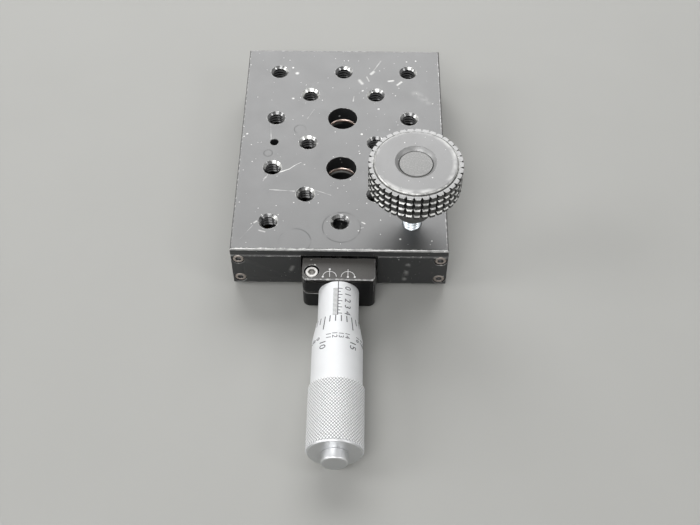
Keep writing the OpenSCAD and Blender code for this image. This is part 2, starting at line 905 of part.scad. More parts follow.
module return_spring_left() {
    color(steel)
    mirror([1, 0, 0])
        return_spring();
}

module micrometer_stem() {
    color(steel)
    difference() {
        union() {
            bar_y(stem_d / 2, block_front, block_back, 0, mic_h);
            bar_y(stem_body_d / 2, sleeve_end, block_front, 0, mic_h);
            bar_y(nut_thread_d / 2, stem_end, sleeve_end, 0, mic_h);
        }
        bar_y(spindle_d / 2 + spindle_clear, stem_end - over, block_back + over, 0, mic_h);
        bar_y(thread_d / 2 + spindle_clear, stem_end - over, relief_start, 0, mic_h);
    }
}

module graduated_sleeve() {
    color(chrome)
    difference() {
        bar_y(sleeve_d / 2, sleeve_end, block_front, 0, mic_h);
        bar_y(sleeve_d / 2 - sleeve_t, sleeve_end - over, block_front + over, 0, mic_h);
    }
}

module adjusting_nut() {
    color(cage_brass)
    difference() {
        bar_y(nut_d / 2, stem_end + nut_end_gap, sleeve_end, 0, mic_h);
        bar_y(nut_thread_d / 2 + seat_clear, stem_end - over, sleeve_end + over, 0, mic_h);
        for (turn = [0, 90])
            translate([0, stem_end, mic_h])
                rotate([0, turn, 0])
                    block(
                        [-nut_d, 0, -nut_slot_w / 2],
                        [nut_d, nut_end_gap + nut_slot_t, nut_slot_w / 2]
                    );
    }
}

module spindle_tip() {
    color(bright)
    translate([0, tip_y, mic_h])
        sphere(d = tip_d);
}

// The spindle is turned in one piece, with a round socket for the ball tip in its front end
module spindle() {
    r = spindle_d / 2;
    socket_r = tip_d / 2 + spindle_clear;
    socket_end = tip_y - socket_r;
    color(bright)
    difference() {
        on_axis()
            polygon([
                [0, socket_end], [socket_r, socket_end], [socket_r, spindle_front],
                [r - spindle_edge, spindle_front], [r, spindle_front - spindle_edge],
                [r, thread_start + spindle_edge], [thread_d / 2, thread_start],
                [thread_d / 2, cavity_end], [spindle_boss_d / 2, cavity_end],
                [spindle_boss_d / 2, spindle_end], [0, spindle_end]
            ]);
        bar_y(cap_thread_d / 2 + seat_clear, thimble_end, thimble_end + cap_bite + depth_slack, 0, mic_h);
    }
}

// The thimble is one turned shell: thin graduated bevel, smooth barrel, raised grip
module thimble() {
    edge_r = thimble_bore_r + thimble_lip;
    barrel_r = barrel_d / 2;
    grip_r = grip_d / 2;
    round = grip_r - barrel_r;
    color(chrome)
    on_axis()
        polygon([
            [thimble_bore_r, thimble_edge], [edge_r, thimble_edge],
            [barrel_r, thimble_edge - bevel_l], [barrel_r, barrel_end],
            [barrel_r + round * 0.7, barrel_end - grip_edge * 0.3],
            [grip_r, barrel_end - grip_edge], [grip_r, thimble_end + grip_edge * 0.8],
            [grip_r - grip_edge * 0.7, thimble_end],
            [spindle_boss_d / 2 + seat_clear, thimble_end],
            [spindle_boss_d / 2 + seat_clear, cavity_end], [thimble_bore_r, cavity_end]
        ]);
}

module thimble_cap() {
    r = cap_d / 2;
    color(bright)
    on_axis()
        polygon([
            [0, thimble_end + cap_bite], [cap_thread_d / 2, thimble_end + cap_bite],
            [cap_thread_d / 2, thimble_end], [r, thimble_end],
            [r, thimble_end - cap_l + cap_edge], [r - cap_edge, thimble_end - cap_l],
            [0, thimble_end - cap_l]
        ]);
}

module knob_plug() {
    r = plug_d / 2;
    top = knob_top - plug_drop;
    color(anodised)
    translate([screw_x, screw_y, 0])
        rotate_extrude($fn = 64)
            polygon([
                [0, top - plug_t], [r, top - plug_t], [r, top - knob_edge], [r - knob_edge, top], [0, top]
            ]);
}

module thumbscrew_stud() {
    r = stud_d / 2;
    color(bright)
    translate([screw_x, screw_y, 0])
        rotate_extrude($fn = 48)
            polygon([
                [0, ceiling_z], [r - stud_point, ceiling_z], [r, ceiling_z + stud_point],
                [r, stud_end], [0, stud_end]
            ]);
}

// Outline of one tooth row in plan: flat-topped teeth with sloping flanks, rooted in the core
function tooth_ring() = [
    for (i = [0 : rim_teeth - 1])
        for (edge = [[-tooth_tip, 1], [tooth_tip, 1], [tooth_root, -0.25], [1 - tooth_root, -0.25]])
            let (angle = (i + edge[0]) * 360 / rim_teeth, r = groove_r + edge[1] * tooth_depth)
                [r * cos(angle), r * sin(angle)]
];

// Outline of the knob's core, turned about its axis: hub, rim core, top disc and recess
function knob_profile() = [
    [stud_d / 2 + seat_clear, hub_low], [hub_d / 2 - knob_edge, hub_low],
    [hub_d / 2, hub_low + knob_edge], [hub_d / 2, rim_low], [groove_r, rim_low],
    [groove_r, rim_top], [knob_top_d / 2 - disc_groove, rim_top - disc_groove],
    [knob_top_d / 2 - disc_groove, rim_top], [knob_top_d / 2, rim_top + disc_groove / 2],
    [knob_top_d / 2, knob_top - knob_edge], [knob_top_d / 2 - knob_edge, knob_top],
    [recess_d / 2, knob_top],
    [recess_low_d / 2, knob_top - plug_drop], [plug_d / 2 + plug_clear, knob_top - plug_drop],
    [plug_d / 2 + plug_clear, knob_top - plug_drop - plug_t - seat_clear],
    [2, knob_top - plug_drop - plug_t - seat_clear], [2, stud_end + seat_clear],
    [stud_d / 2 + seat_clear, stud_end + seat_clear]
];

module thumbscrew_knob() {
    color(anodised_soft)
    translate([screw_x, screw_y, 0]) {
        rotate_extrude($fn = 96)
            polygon(knob_profile());
        for (row = [0 : rim_rows - 1])
            translate([0, 0, rim_low + row * row_h + rib_w / 2])
                linear_extrude(row_h - rib_w)
                    difference() {
                        polygon(tooth_ring());
                        circle(r = groove_r - 1);
                    }
    }
}

base_body();
clamp_block();
clamp_block_screws();
base_rods();
base_spring_posts();
micrometer_stem();
graduated_sleeve();
adjusting_nut();
clamp_screw();
carriage_body();
front_cover_left();
front_cover_right();
rear_cover();
front_cover_screws();
rear_cover_screws();
carriage_rods_left();
carriage_rods_right();
carriage_spring_posts();
push_pad();
ball_cage_left();
ball_cage_right();
bearing_balls_left();
bearing_balls_right();
return_spring_left();
return_spring_right();
spindle_tip();
spindle();
thimble();
thimble_cap();
knob_plug();
thumbscrew_stud();
thumbscrew_knob();
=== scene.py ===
import json
import math

import bmesh
import bpy
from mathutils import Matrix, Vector

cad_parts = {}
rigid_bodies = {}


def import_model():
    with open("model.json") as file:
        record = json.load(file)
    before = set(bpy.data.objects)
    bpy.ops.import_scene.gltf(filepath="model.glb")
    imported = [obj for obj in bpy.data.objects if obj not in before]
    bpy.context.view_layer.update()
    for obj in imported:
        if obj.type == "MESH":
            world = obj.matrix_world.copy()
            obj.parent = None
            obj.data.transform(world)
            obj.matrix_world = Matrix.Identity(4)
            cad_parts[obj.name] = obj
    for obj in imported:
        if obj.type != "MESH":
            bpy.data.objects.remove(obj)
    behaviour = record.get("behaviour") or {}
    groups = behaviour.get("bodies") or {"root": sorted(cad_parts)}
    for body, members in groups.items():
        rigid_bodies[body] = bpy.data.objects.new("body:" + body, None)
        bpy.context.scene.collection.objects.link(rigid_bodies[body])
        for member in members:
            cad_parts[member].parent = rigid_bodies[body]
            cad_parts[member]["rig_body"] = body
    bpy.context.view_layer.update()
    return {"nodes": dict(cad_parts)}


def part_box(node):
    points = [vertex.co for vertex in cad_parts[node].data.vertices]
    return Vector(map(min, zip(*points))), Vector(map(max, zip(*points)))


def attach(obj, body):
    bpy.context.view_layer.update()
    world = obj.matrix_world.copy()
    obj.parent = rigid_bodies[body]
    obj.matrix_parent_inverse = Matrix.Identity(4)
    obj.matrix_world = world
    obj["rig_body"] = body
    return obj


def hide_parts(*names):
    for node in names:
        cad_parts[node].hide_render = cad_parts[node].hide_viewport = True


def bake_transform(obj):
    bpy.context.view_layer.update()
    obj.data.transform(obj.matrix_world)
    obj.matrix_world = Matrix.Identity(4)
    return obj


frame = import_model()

bl_info = {
    "name": "Linear Translation Stage",
    "version": (1, 0, 0),
    "blender": (4, 5, 0),
    "location": "3D View > Sidebar > Stage",
    "description": "Finishes, threads, marks and knurls of a linear translation stage",
    "category": "Add Mesh",
}

UP = Vector((0, 0, 1))
MM = 0.001
SQUARE = ((-1, -1), (1, -1), (1, 1), (-1, 1))
# Thickness of a filled mark, radius of the base's two bores, and how near an edge counts as on it.
MARK_T = 0.00004
BORE_R = 0.00555
ON_EDGE = 0.0001
WIRE_SIDES = 8


def middle(node):
    """Centre of a CAD node's box at rest."""
    low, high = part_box(node)
    return (low + high) / 2


def apart(a, b):
    """Distance of two points as seen from above."""
    return math.hypot(a.x - b.x, a.y - b.y)


AXIS_Z = middle("graduated_sleeve").z
SLEEVE_LOW, SLEEVE_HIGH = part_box("graduated_sleeve")
THIMBLE_LOW, THIMBLE_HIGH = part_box("thimble")
CAP_LOW, CAP_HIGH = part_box("thimble_cap")
BLOCK_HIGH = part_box("clamp_block")[1]
DECK_LOW, DECK_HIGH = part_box("carriage_body")
COVER_LOW, COVER_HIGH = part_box("front_cover_left")
KNOB_LOW, KNOB_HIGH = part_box("thumbscrew_knob")
PLUG_LOW, PLUG_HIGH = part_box("knob_plug")
STUD_LOW, STUD_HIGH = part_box("thumbscrew_stud")
KNOB_AXIS = middle("thumbscrew_stud")
CLAMP_SCREW = middle("clamp_screw")
SLEEVE_R = SLEEVE_HIGH.x
GRIP_R = THIMBLE_HIGH.x
STUD_R = (STUD_HIGH.x - STUD_LOW.x) / 2
KNOB_R = (KNOB_HIGH.x - KNOB_LOW.x) / 2
PLUG_R = (PLUG_HIGH.x - PLUG_LOW.x) / 2


# Properties


def length(name, description, default):
    """A length in metres."""
    return bpy.props.FloatProperty(
        name=name, description=description, default=default, min=0.0, precision=5, unit="LENGTH"
    )


def number(name, description, default):
    """A plain positive number."""
    return bpy.props.FloatProperty(name=name, description=description, default=default, min=0.0)


def count(name, description, default):
    return bpy.props.IntProperty(name=name, description=description, default=default, min=1)


def turn(name, description, degrees):
    """An angle, given in degrees."""
    return bpy.props.FloatProperty(
        name=name, description=description, default=math.radians(degrees), subtype="ANGLE"
    )


def colour(name, description, rgb):
    return bpy.props.FloatVectorProperty(
        name=name, description=description, default=rgb, min=0.0, max=1.0, size=3, subtype="COLOR"
    )


def place(name, description, values, unit="LENGTH"):
    """A point, a size or a turn, of two or three numbers."""
    return bpy.props.FloatVectorProperty(
        name=name, description=description, default=values, size=len(values), precision=5, unit=unit
    )


def way(name, description, degrees):
    """Angles, given in degrees."""
    return place(name, description, [math.radians(a) for a in degrees], "ROTATION")


class StudioSettings(bpy.types.PropertyGroup):
    """Camera, floor and light"""

    camera_place: place("Camera place", "Where the camera stands", (0.007453, -0.270351, 0.309142))
    camera_turn: way("Camera turn", "How the camera is turned", (36.6652, 0.0756, 0.8640))
    camera_lens: number("Lens", "Focal length in millimetres on a 36 mm sensor", 53.829)
    light_far: length("Light distance", "Distance of the softboxes from the stage", 1.2)
    sky_level: number("Sky level", "Strength of the even light from all sides", 0.2)
    sky_left: number("Left sky", "Brightness of what metal shows on the left", 1.0)
    sky_right: number("Right sky", "Brightness of what metal shows on the right", 0.7)
    floor_colour: colour("Floor", "Colour of the floor", (0.46, 0.46, 0.44))


SOFTBOXES = {
    "back": ((-3, 43), (1.3, 0.7), 3.75),
    "front": ((198, 50), (0.6, 0.5), 4.7),
    "left": ((262, 34), (0.36, 0.36), 7.1),
    "right": ((115, 40), (0.22, 0.22), 8.0),
}
for side, (facing, size, level) in SOFTBOXES.items():
    label = f"{side.capitalize()} light"
    StudioSettings.__annotations__.update({
        f"{side}_way": way(label, "Azimuth from +Y and elevation of the softbox", facing),
        f"{side}_size": place(label + " size", "Width and height of the softbox", size),
        f"{side}_level": number(label + " level", "Radiance of the softbox", level),
    })


class FinishSettings(bpy.types.PropertyGroup):
    """Colours and grain of the finishes"""

    deck_colour: colour("Deck", "Black anodised deck", (0.026, 0.027, 0.027))
    cover_colour: colour("Covers", "Black anodised covers", (0.02, 0.021, 0.022))
    block_colour: colour("Clamp block", "Black anodised clamp block", (0.009, 0.009, 0.01))
    # Colour of the clamp block's top, lighter than its sides: painted glare.
    haze_colour: colour("Top glare", "Top of the clamp block, lighter as painted glare", (0.052, 0.049, 0.045))
    knob_colour: colour("Knob", "Blackened steel of the knob", (0.02, 0.02, 0.019))
    bare_colour: colour("Bare aluminium", "Metal that shows where the black is worn", (0.62, 0.62, 0.6))
    lip_colour: colour("Bore lips", "Stained metal on the lips of the base's bores", (0.74, 0.6, 0.53))
    # Dust and lint, and also the pale bands and lines of painted highlight.
    dust_colour: colour("Dust", "Dust and lint", (0.85, 0.85, 0.82))
    chrome_colour: colour("Satin chrome", "Sleeve and thimble", (0.86, 0.87, 0.88))
    steel_colour: colour("Steel", "Ground and hardened steel", (0.62, 0.61, 0.59))
    bronze_colour: colour("Bronzed steel", "Cover screws", (0.56, 0.5, 0.46))
    zinc_colour: colour("Zinc", "Zinc plated stud", (0.78, 0.83, 0.87))
    brass_colour: colour("Brass", "Ball cages and adjusting nut", (0.62, 0.46, 0.19))
    ink_colour: colour("Scale ink", "Filling of the engraved marks", (0.07, 0.07, 0.08))
    fine_ink_colour: colour("Fine ink", "Filling of the finest marks", (0.26, 0.26, 0.25))
    paint_colour: colour("White paint", "Symbols on the clamp block", (0.8, 0.8, 0.78))
    grain_cell: length("Grain", "Size of the blasted grain", 0.00035)
    edge_break: length("Edge break", "Rounding of the machined edges", 0.00012)
    broad_break: length("Broad edge break", "Chamfer of the edges that are handled most", 0.00028)


class ThreadSettings(bpy.types.PropertyGroup):
    """Threads of the deck holes and the stud"""

    pitch: length("Pitch", "Distance between two turns", 0.00127)
    hole_pitch: length("Hole pitch", "Distance between neighbouring holes of a row", 0.0254)
    major_r: length("Major radius", "Radius at the root of the hole's thread", 0.003175)
    minor_r: length("Minor radius", "Radius at the crest of the hole's thread", 0.00262)
    mouth_r: length("Countersink", "Radius of the countersink's mouth", 0.0035)
    deck_t: length("Deck thickness", "Length of thread in the deck", 0.006)
    lip_t: length("Lip thickness", "Length of thread over the notch for the clamp block", 0.0033)
    notch_back: length("Notch back", "Place of that notch's rear end along the travel", -0.0363)
    lip_break: length("Bore lip", "Chamfer of the base's two bores", 0.0011)


class ScaleSettings(bpy.types.PropertyGroup):
    """Marks of the micrometer head"""

    zero_gap: length("Zero line", "Distance of the zero line from the clamp block", 0.003)
    tenth: length("Numbered step", "Distance between two numbers of the sleeve", 0.00254)
    tenths: count("Numbered steps", "Number of numbered steps on the sleeve", 10)
    index_turn: turn("Index line", "Angle of the index line from the top", -0.2)
    index_w: length("Index width", "Width of the index line", 0.0003)
    line_w: length("Line width", "Width of the sleeve's ticks", 0.00026)
    fine_w: length("Fine line width", "Width of the finest ticks", 0.00024)
    division_w: length("Division width", "Width of the thimble's divisions", 0.00038)
    long_tick: length("Long tick", "Length of a tick at a number", 0.00145)
    short_tick: length("Short tick", "Length of a tick between numbers", 0.00085)
    band: length("Fine band", "Length of the fine ticks beside the index line", 0.00171)
    digit: length("Sleeve digit", "Height of the sleeve's digits", 0.0022)
    digit_turn: turn("Digit angle", "Angle of the sleeve's digits from the top", 28.4)
    divisions: count("Divisions", "Number of divisions round the thimble", 25)
    at_index: number("Division at the index", "Thimble division that meets the index line", 12.33)
    edge_r: length("Edge radius", "Radius of the thimble at its graduated edge", 0.00745)
    bevel_l: length("Bevel", "Length of the thimble's graduated bevel", 0.0068)
    barrel_r: length("Barrel radius", "Radius of the thimble's barrel", 0.0086)
    bore_r: length("Bore radius", "Radius of the thimble's bore", 0.0071)
    thimble_tick: length("Thimble tick", "Length of a thimble division", 0.0028)
    thimble_long: length("Long thimble tick", "Length of every fifth division", 0.0057)
    small_digit: length("Small number", "Height of the small numbers", 0.0017)
    large_digit: length("Large number", "Height of the large numbers", 0.0024)
    small_back: length("Small number place", "Distance of the small numbers behind the edge", 0.0088)
    large_back: length("Large number place", "Distance of the large numbers behind the edge", 0.0120)
    proud: length("Mark height", "How far a filled mark stands off the metal", 0.000014)


class KnurlSettings(bpy.types.PropertyGroup):
    """Diamond knurl of the thimble"""

    barrel_l: length("Barrel", "Length of the smooth barrel with its bevel", 0.0243)
    starts: count("Starts", "Number of diamonds round the grip", 54)
    diamond: length("Diamond", "Length of a diamond along the axis", 0.001155)
    depth: length("Depth", "Depth of the knurl", 0.00032)
    flat: number("Flat", "Share of a diamond that is left flat", 0.76)
    shoulder: length("Shoulder", "Length of the slope between barrel and grip", 0.00015)
    rim: length("Rim", "Length of the plain rim behind the grip", 0.00055)
    boss_r: length("Boss radius", "Radius of the hole for the spindle's end", 0.00302)
    end_t: length("End wall", "Thickness of the thimble's end wall", 0.0045)


class KnobSettings(bpy.types.PropertyGroup):
    """The toothed knob"""

    disc_r: length("Disc radius", "Radius of the smooth top disc", 0.014)
    step: length("Step", "Height of the disc above the teeth", 0.0007)
    rim_h: length("Rim height", "Height of the toothed rim", 0.0099)
    rows: count("Rows", "Rows of teeth; the lowest is cut short", 4)
    row_h: length("Row height", "Distance between two rows of teeth", 0.00293)
    row_depth: length("Row depth", "Depth of the grooves between the rows", 0.0007)
    teeth: count("Teeth", "Teeth in one row", 37)
    tooth_turn: turn("Tooth angle", "How far the teeth are turned", 3.6)
    tooth_depth: length("Tooth depth", "Depth of the grooves between the teeth", 0.0011)
    tip_share: number("Tip width", "Share of the tooth pitch that is left at the tip", 0.6)
    tip_h: length("Tip height", "Height of a tooth's outer face", 0.00192)
    chamfer: length("Chamfer", "Chamfer of the disc's upper edge", 0.0004)
    hub_r: length("Hub radius", "Radius of the hub", 0.00635)
    recess_r: length("Recess radius", "Radius at the mouth of the recess", 0.00705)
    plug_gap: length("Plug gap", "Gap round the plug", 0.00012)


class SpringSettings(bpy.types.PropertyGroup):
    """The coiled return springs"""

    wire_r: length("Wire radius", "Radius of the wire", 0.0004)
    coil_r: length("Coil radius", "Radius of the coil at the middle of the wire", 0.0021)
    pitch: length("Turn pitch", "Distance between two turns", 0.0011)
    eye_r: length("Eye radius", "Radius of the ring at each end", 0.0018)


SETTINGS = {
    "studio": StudioSettings,
    "finish": FinishSettings,
    "thread": ThreadSettings,
    "scale": ScaleSettings,
    "knurl": KnurlSettings,
    "knob": KnobSettings,
    "spring": SpringSettings,
}


def settings(group):
    """One group of the settings that the panel shows."""
    return getattr(bpy.context.scene, "stage_" + group)


# Node trees


class Tree:
    """Adds nodes to one tree. A value or another node's output may feed any input."""

    def __init__(self, tree):
        self.tree = tree

    def node(self, kind, inputs=None, **options):
        made = self.tree.nodes.new(kind)
        for name, value in options.items():
            setattr(made, name, value)
        for key, value in (inputs or {}).items():
            self.feed(made.inputs[key], value)
        return made

    def feed(self, socket, value):
        if isinstance(value, bpy.types.NodeSocket):
            self.tree.links.new(value, socket)
        else:
            socket.default_value = value

    def maths(self, operation, *values, clamp=False):
        inputs = dict(enumerate(values))
        return self.node("ShaderNodeMath", inputs, operation=operation, use_clamp=clamp).outputs[0]

    def times(self, a, b):
        return self.maths("MULTIPLY", a, b)

    def plus(self, a, b):
        return self.maths("ADD", a, b)

    def minus(self, a, b):
        return self.maths("SUBTRACT", a, b)

    def vector(self, operation, *values, out="Vector"):
        inputs = dict(enumerate(values))
        return self.node("ShaderNodeVectorMath", inputs, operation=operation).outputs[out]

    def smooth(self, value, low, high):
        """0 below low, 1 above high, and a soft step between them."""
        inputs = {"Value": value, "From Min": low, "From Max": high}
        return self.node("ShaderNodeMapRange", inputs, interpolation_type="SMOOTHSTEP").outputs[0]

    def span(self, value, low, high, start=0.0, stop=1.0):
        """Maps start to stop onto low to high."""
        inputs = {"Value": value, "From Min": start, "From Max": stop, "To Min": low, "To Max": high}
        return self.node("ShaderNodeMapRange", inputs).outputs[0]

    def mix(self, share, a, b):
        """Blends two colours."""
        inputs = {0: share, 6: solid(a), 7: solid(b)}
        return self.node("ShaderNodeMix", inputs, data_type="RGBA").outputs[2]

    def group(self, name, **values):
        """Places a shared effect; an underscore in a keyword stands for a space."""
        inputs = {key.replace("_", " "): value for key, value in values.items()}
        return self.node("ShaderNodeGroup", inputs, node_tree=bpy.data.node_groups[name]).outputs[0]

    def here(self):
        """The point on the piece, in metres."""
        return self.node("ShaderNodeTexCoord").outputs["Object"]

    def noise(self, place, scale, detail=2.0, rough=0.5, dimensions="3D"):
        inputs = {"Scale": scale, "Detail": detail, "Roughness": rough}
        inputs["W" if dimensions == "1D" else "Vector"] = place
        return self.node("ShaderNodeTexNoise", inputs, noise_dimensions=dimensions).outputs[0]


def solid(value):
    """A colour of three numbers as one of four; anything else stays."""
    if isinstance(value, bpy.types.NodeSocket):
        return value
    return (*tuple(value)[:3], 1.0)


def effect(name, inputs, output):
    """Starts a shader node group with named inputs and one output."""
    made = bpy.data.node_groups.new(name, "ShaderNodeTree")
    kinds = {float: "NodeSocketFloat", tuple: "NodeSocketVector"}
    for label, default in inputs.items():
        kind = kinds[type(default)]
        socket = made.interface.new_socket(label, in_out="INPUT", socket_type=kind)
        socket.default_value = default
    made.interface.new_socket(output, in_out="OUTPUT", socket_type="NodeSocketFloat")
    given = made.nodes.new("NodeGroupInput").outputs
    return Tree(made), given, made.nodes.new("NodeGroupOutput").inputs[0]


def build_grain():
    """Even noise, for blasted and cast surfaces."""
    tree, given, out = effect("Grain", {"Cell": 0.0004, "Detail": 2.0}, "Value")
    scale = tree.maths("DIVIDE", 1.0, given["Cell"])
    tree.feed(out, tree.noise(tree.here(), scale, given["Detail"], 0.6))


def build_specks():
    """Round specks of dust, of mixed sizes."""
    inputs = {"Spacing": 0.002, "Size": 0.0002, "Share": 0.3}
    tree, given, out = effect("Specks", inputs, "Mask")
    where = {"Vector": tree.here(), "Scale": tree.maths("DIVIDE", 1.0, given["Spacing"])}
    cells = tree.node("ShaderNodeTexVoronoi", where)
    dice = tree.node("ShaderNodeSeparateColor", {0: cells.outputs["Color"]}).outputs
    reach = tree.times(cells.outputs["Distance"], given["Spacing"])
    size = tree.times(given["Size"], tree.maths("POWER", dice[1], 3.0))
    inside = tree.smooth(tree.minus(size, reach), 0.0, 0.00004)
    tree.feed(out, tree.times(inside, tree.maths("LESS_THAN", dice[0], given["Share"])))


def build_hairlines():
    """Fine scratches that run in three directions over the flat faces."""
    inputs = {"Length": 0.02, "Width": 0.00012, "Share": 0.3}
    tree, given, out = effect("Hairlines", inputs, "Mask")
    limit = tree.minus(0.86, tree.times(given["Share"], 0.2))
    lines, upright_scale = 0.0, 300.0
    for angle in (0.35, 1.25, 2.3):
        inputs = {"Vector": tree.here(), "Rotation": (0.0, 0.0, angle)}
        flow = tree.node("ShaderNodeMapping", inputs).outputs[0]
        along, across = (tree.maths("DIVIDE", 1.0, given[size]) for size in ("Length", "Width"))
        stretch = tree.node("ShaderNodeCombineXYZ", {0: along, 1: across, 2: upright_scale}).outputs[0]
        streak = tree.noise(tree.vector("MULTIPLY", flow, stretch), 1.0, 1.0)
        lines = tree.maths("MAXIMUM", lines, tree.smooth(streak, limit, 0.9))
    tree.feed(out, lines)


def build_scratch():
    """One long scratch between two points, broken along its length."""
    inputs = {"Start": (0.0, 0.0, 0.0), "End": (0.01, 0.0, 0.0), "Width": 0.0002, "Broken": 1.0}
    tree, given, out = effect("Scratch", inputs, "Mask")
    here = tree.here()
    from_start = tree.vector("SUBTRACT", here, given["Start"])
    along = tree.vector("SUBTRACT", given["End"], given["Start"])
    reached, whole = (tree.vector("DOT_PRODUCT", way, along, out="Value") for way in (from_start, along))
    share = tree.maths("DIVIDE", reached, whole, clamp=True)
    scale = tree.node("ShaderNodeVectorMath", {0: along, "Scale": share}, operation="SCALE").outputs[0]
    off = tree.vector("LENGTH", tree.vector("SUBTRACT", from_start, scale), out="Value")
    wander = tree.times(tree.minus(tree.noise(here, 260.0), 0.5), 0.0007)
    near = tree.maths("ABSOLUTE", tree.plus(off, wander))
    line = tree.minus(1.0, tree.smooth(near, 0.0, given["Width"]))
    missing = tree.minus(1.0, tree.smooth(tree.noise(here, 420.0), 0.38, 0.6))
    left = tree.minus(1.0, tree.times(missing, given["Broken"]))
    tree.feed(out, tree.times(line, left))


def build_ring_mark():
    """A faint stain or scuff in a ring."""
    inputs = {"Centre": (0.0, 0.0, 0.0), "Radius": 0.004, "Width": 0.0004}
    tree, given, out = effect("Ring Mark", inputs, "Mask")
    here = tree.here()
    away = tree.vector("DISTANCE", here, given["Centre"], out="Value")
    off = tree.maths("ABSOLUTE", tree.minus(away, given["Radius"]))
    line = tree.minus(1.0, tree.smooth(off, 0.0, given["Width"]))
    tree.feed(out, tree.times(line, tree.smooth(tree.noise(here, 160.0), 0.42, 0.62)))


def build_turned_rings():
    """Tool marks round an axis, on a face or along a barrel."""
    inputs = {"Centre": (0.0, 0.0, 0.0), "Axis": (0.0, 0.0, 1.0), "Cell": 0.0002}
    tree, given, out = effect("Turned Rings", inputs, "Value")
    off = tree.vector("SUBTRACT", tree.here(), given["Centre"])
    along = tree.vector("DOT_PRODUCT", off, given["Axis"], out="Value")
    square = tree.vector("DOT_PRODUCT", off, off, out="Value")
    radial = tree.maths("SQRT", tree.minus(square, tree.times(along, along)))
    tread = tree.maths("DIVIDE", tree.plus(radial, along), given["Cell"])
    tree.feed(out, tree.noise(tread, 1.0, 2.0, dimensions="1D"))


def build_edge_wear():
    """Where edges are rubbed through to bare metal."""
    tree, given, out = effect("Edge Wear", {"Radius": 0.0002, "Amount": 1.0}, "Mask")
    rounded = tree.node("ShaderNodeBevel", {"Radius": given["Radius"]}, samples=6).outputs[0]
    sharp = tree.node("ShaderNodeNewGeometry").outputs["Normal"]
    bend = tree.minus(1.0, tree.vector("DOT_PRODUCT", rounded, sharp, out="Value"))
    patches = tree.smooth(tree.noise(tree.here(), 900.0, 3.0), 0.34, 0.62)
    rubbed = tree.times(tree.smooth(bend, 0.01, 0.12), patches)
    tree.feed(out, tree.maths("MULTIPLY", rubbed, given["Amount"], clamp=True))


EFFECTS = (
    build_grain, build_specks, build_hairlines, build_scratch, build_ring_mark, build_turned_rings,
    build_edge_wear,
)


# Materials


def start_material(name, metal=0.0, ior=1.5):
    """A new material with a Principled shader; metal and index are set on the shader itself."""
    made = bpy.data.materials.new(name + "_finish")
    made.use_nodes = True
    shader = made.node_tree.nodes["Principled BSDF"]
    shader.inputs["Metallic"].default_value = metal
    shader.inputs["IOR"].default_value = ior
    return made, Tree(made.node_tree), shader.inputs


def bump(tree, height, depth):
    """A normal from a height of 0 to 1 that is depth metres deep."""
    return tree.node("ShaderNodeBump", {"Height": height, "Distance": depth}).outputs[0]


def shade(rgb, factor):
    return [min(1.0, c * factor) for c in rgb]


CLOUD = 0.011
DUST = ({"Spacing": 0.0045, "Size": 0.0006}, {"Spacing": 0.0014, "Size": 0.00028})
DIRT = {"Spacing": 0.0014, "Size": 0.00018}
GRAIN_DEPTH = 0.000012
RING_CELL = 0.00018


def anodised(name, rgb, rough, wear=0.7, dust=0.25, scratched=0.3, marks=None, stains=None, ior=1.9):
    """Black anodised aluminium: blasted grain, rubbed edges, hairlines, dust and its own marks."""
    look = settings("finish")
    made, tree, shader = start_material(name, ior=ior)
    grain = tree.group("Grain", Cell=look.grain_cell)
    cloud = tree.group("Grain", Cell=CLOUD, Detail=3.0)
    hair = tree.group("Hairlines", Share=scratched)
    rubbed = tree.group("Edge Wear", Radius=look.edge_break * 1.5, Amount=wear)
    specks = tree.maths("MAXIMUM", *[tree.group("Specks", Share=dust, **kind) for kind in DUST])
    colours = tree.mix(grain, shade(rgb, 0.6), shade(rgb, 1.6))
    colours = tree.mix(tree.times(hair, 0.3), colours, look.bare_colour)
    # The marks are scratches, smears and lint, and on the knob's top and round the base's bores pale bands
    # of painted highlight.
    if marks:
        colours = tree.mix(marks(tree), colours, look.dust_colour)
    colours = tree.mix(rubbed, colours, look.bare_colour)
    colours = tree.mix(tree.times(specks, 0.8), colours, look.dust_colour)
    tree.feed(shader["Base Color"], colours)
    tree.feed(shader["Metallic"], tree.times(rubbed, 0.9))
    uneven = tree.plus(tree.times(grain, 0.5), tree.times(cloud, 0.5))
    dull = tree.span(uneven, rough - 0.1, rough + 0.1)
    if stains:
        dull = tree.plus(dull, tree.times(stains(tree), 0.25))
    tree.feed(shader["Roughness"], dull)
    tree.feed(shader["Normal"], bump(tree, grain, GRAIN_DEPTH))
    return made


def worn(name, black, rough, cell, low, high, bare="bare_colour", tone=1.0):
    """Black anodising that is rubbed through to bright metal in patches; low and high set how much."""
    bare = shade(getattr(settings("finish"), bare), tone)
    made, tree, shader = start_material(name, ior=2.3)
    patches = tree.smooth(tree.group("Grain", Cell=cell, Detail=3.0), low, high)
    tree.feed(shader["Base Color"], tree.mix(patches, shade(black, 1.2), bare))
    tree.feed(shader["Metallic"], patches)
    tree.feed(shader["Roughness"], tree.span(tree.group("Grain", Cell=0.0002), rough - 0.06, rough + 0.06))
    return made


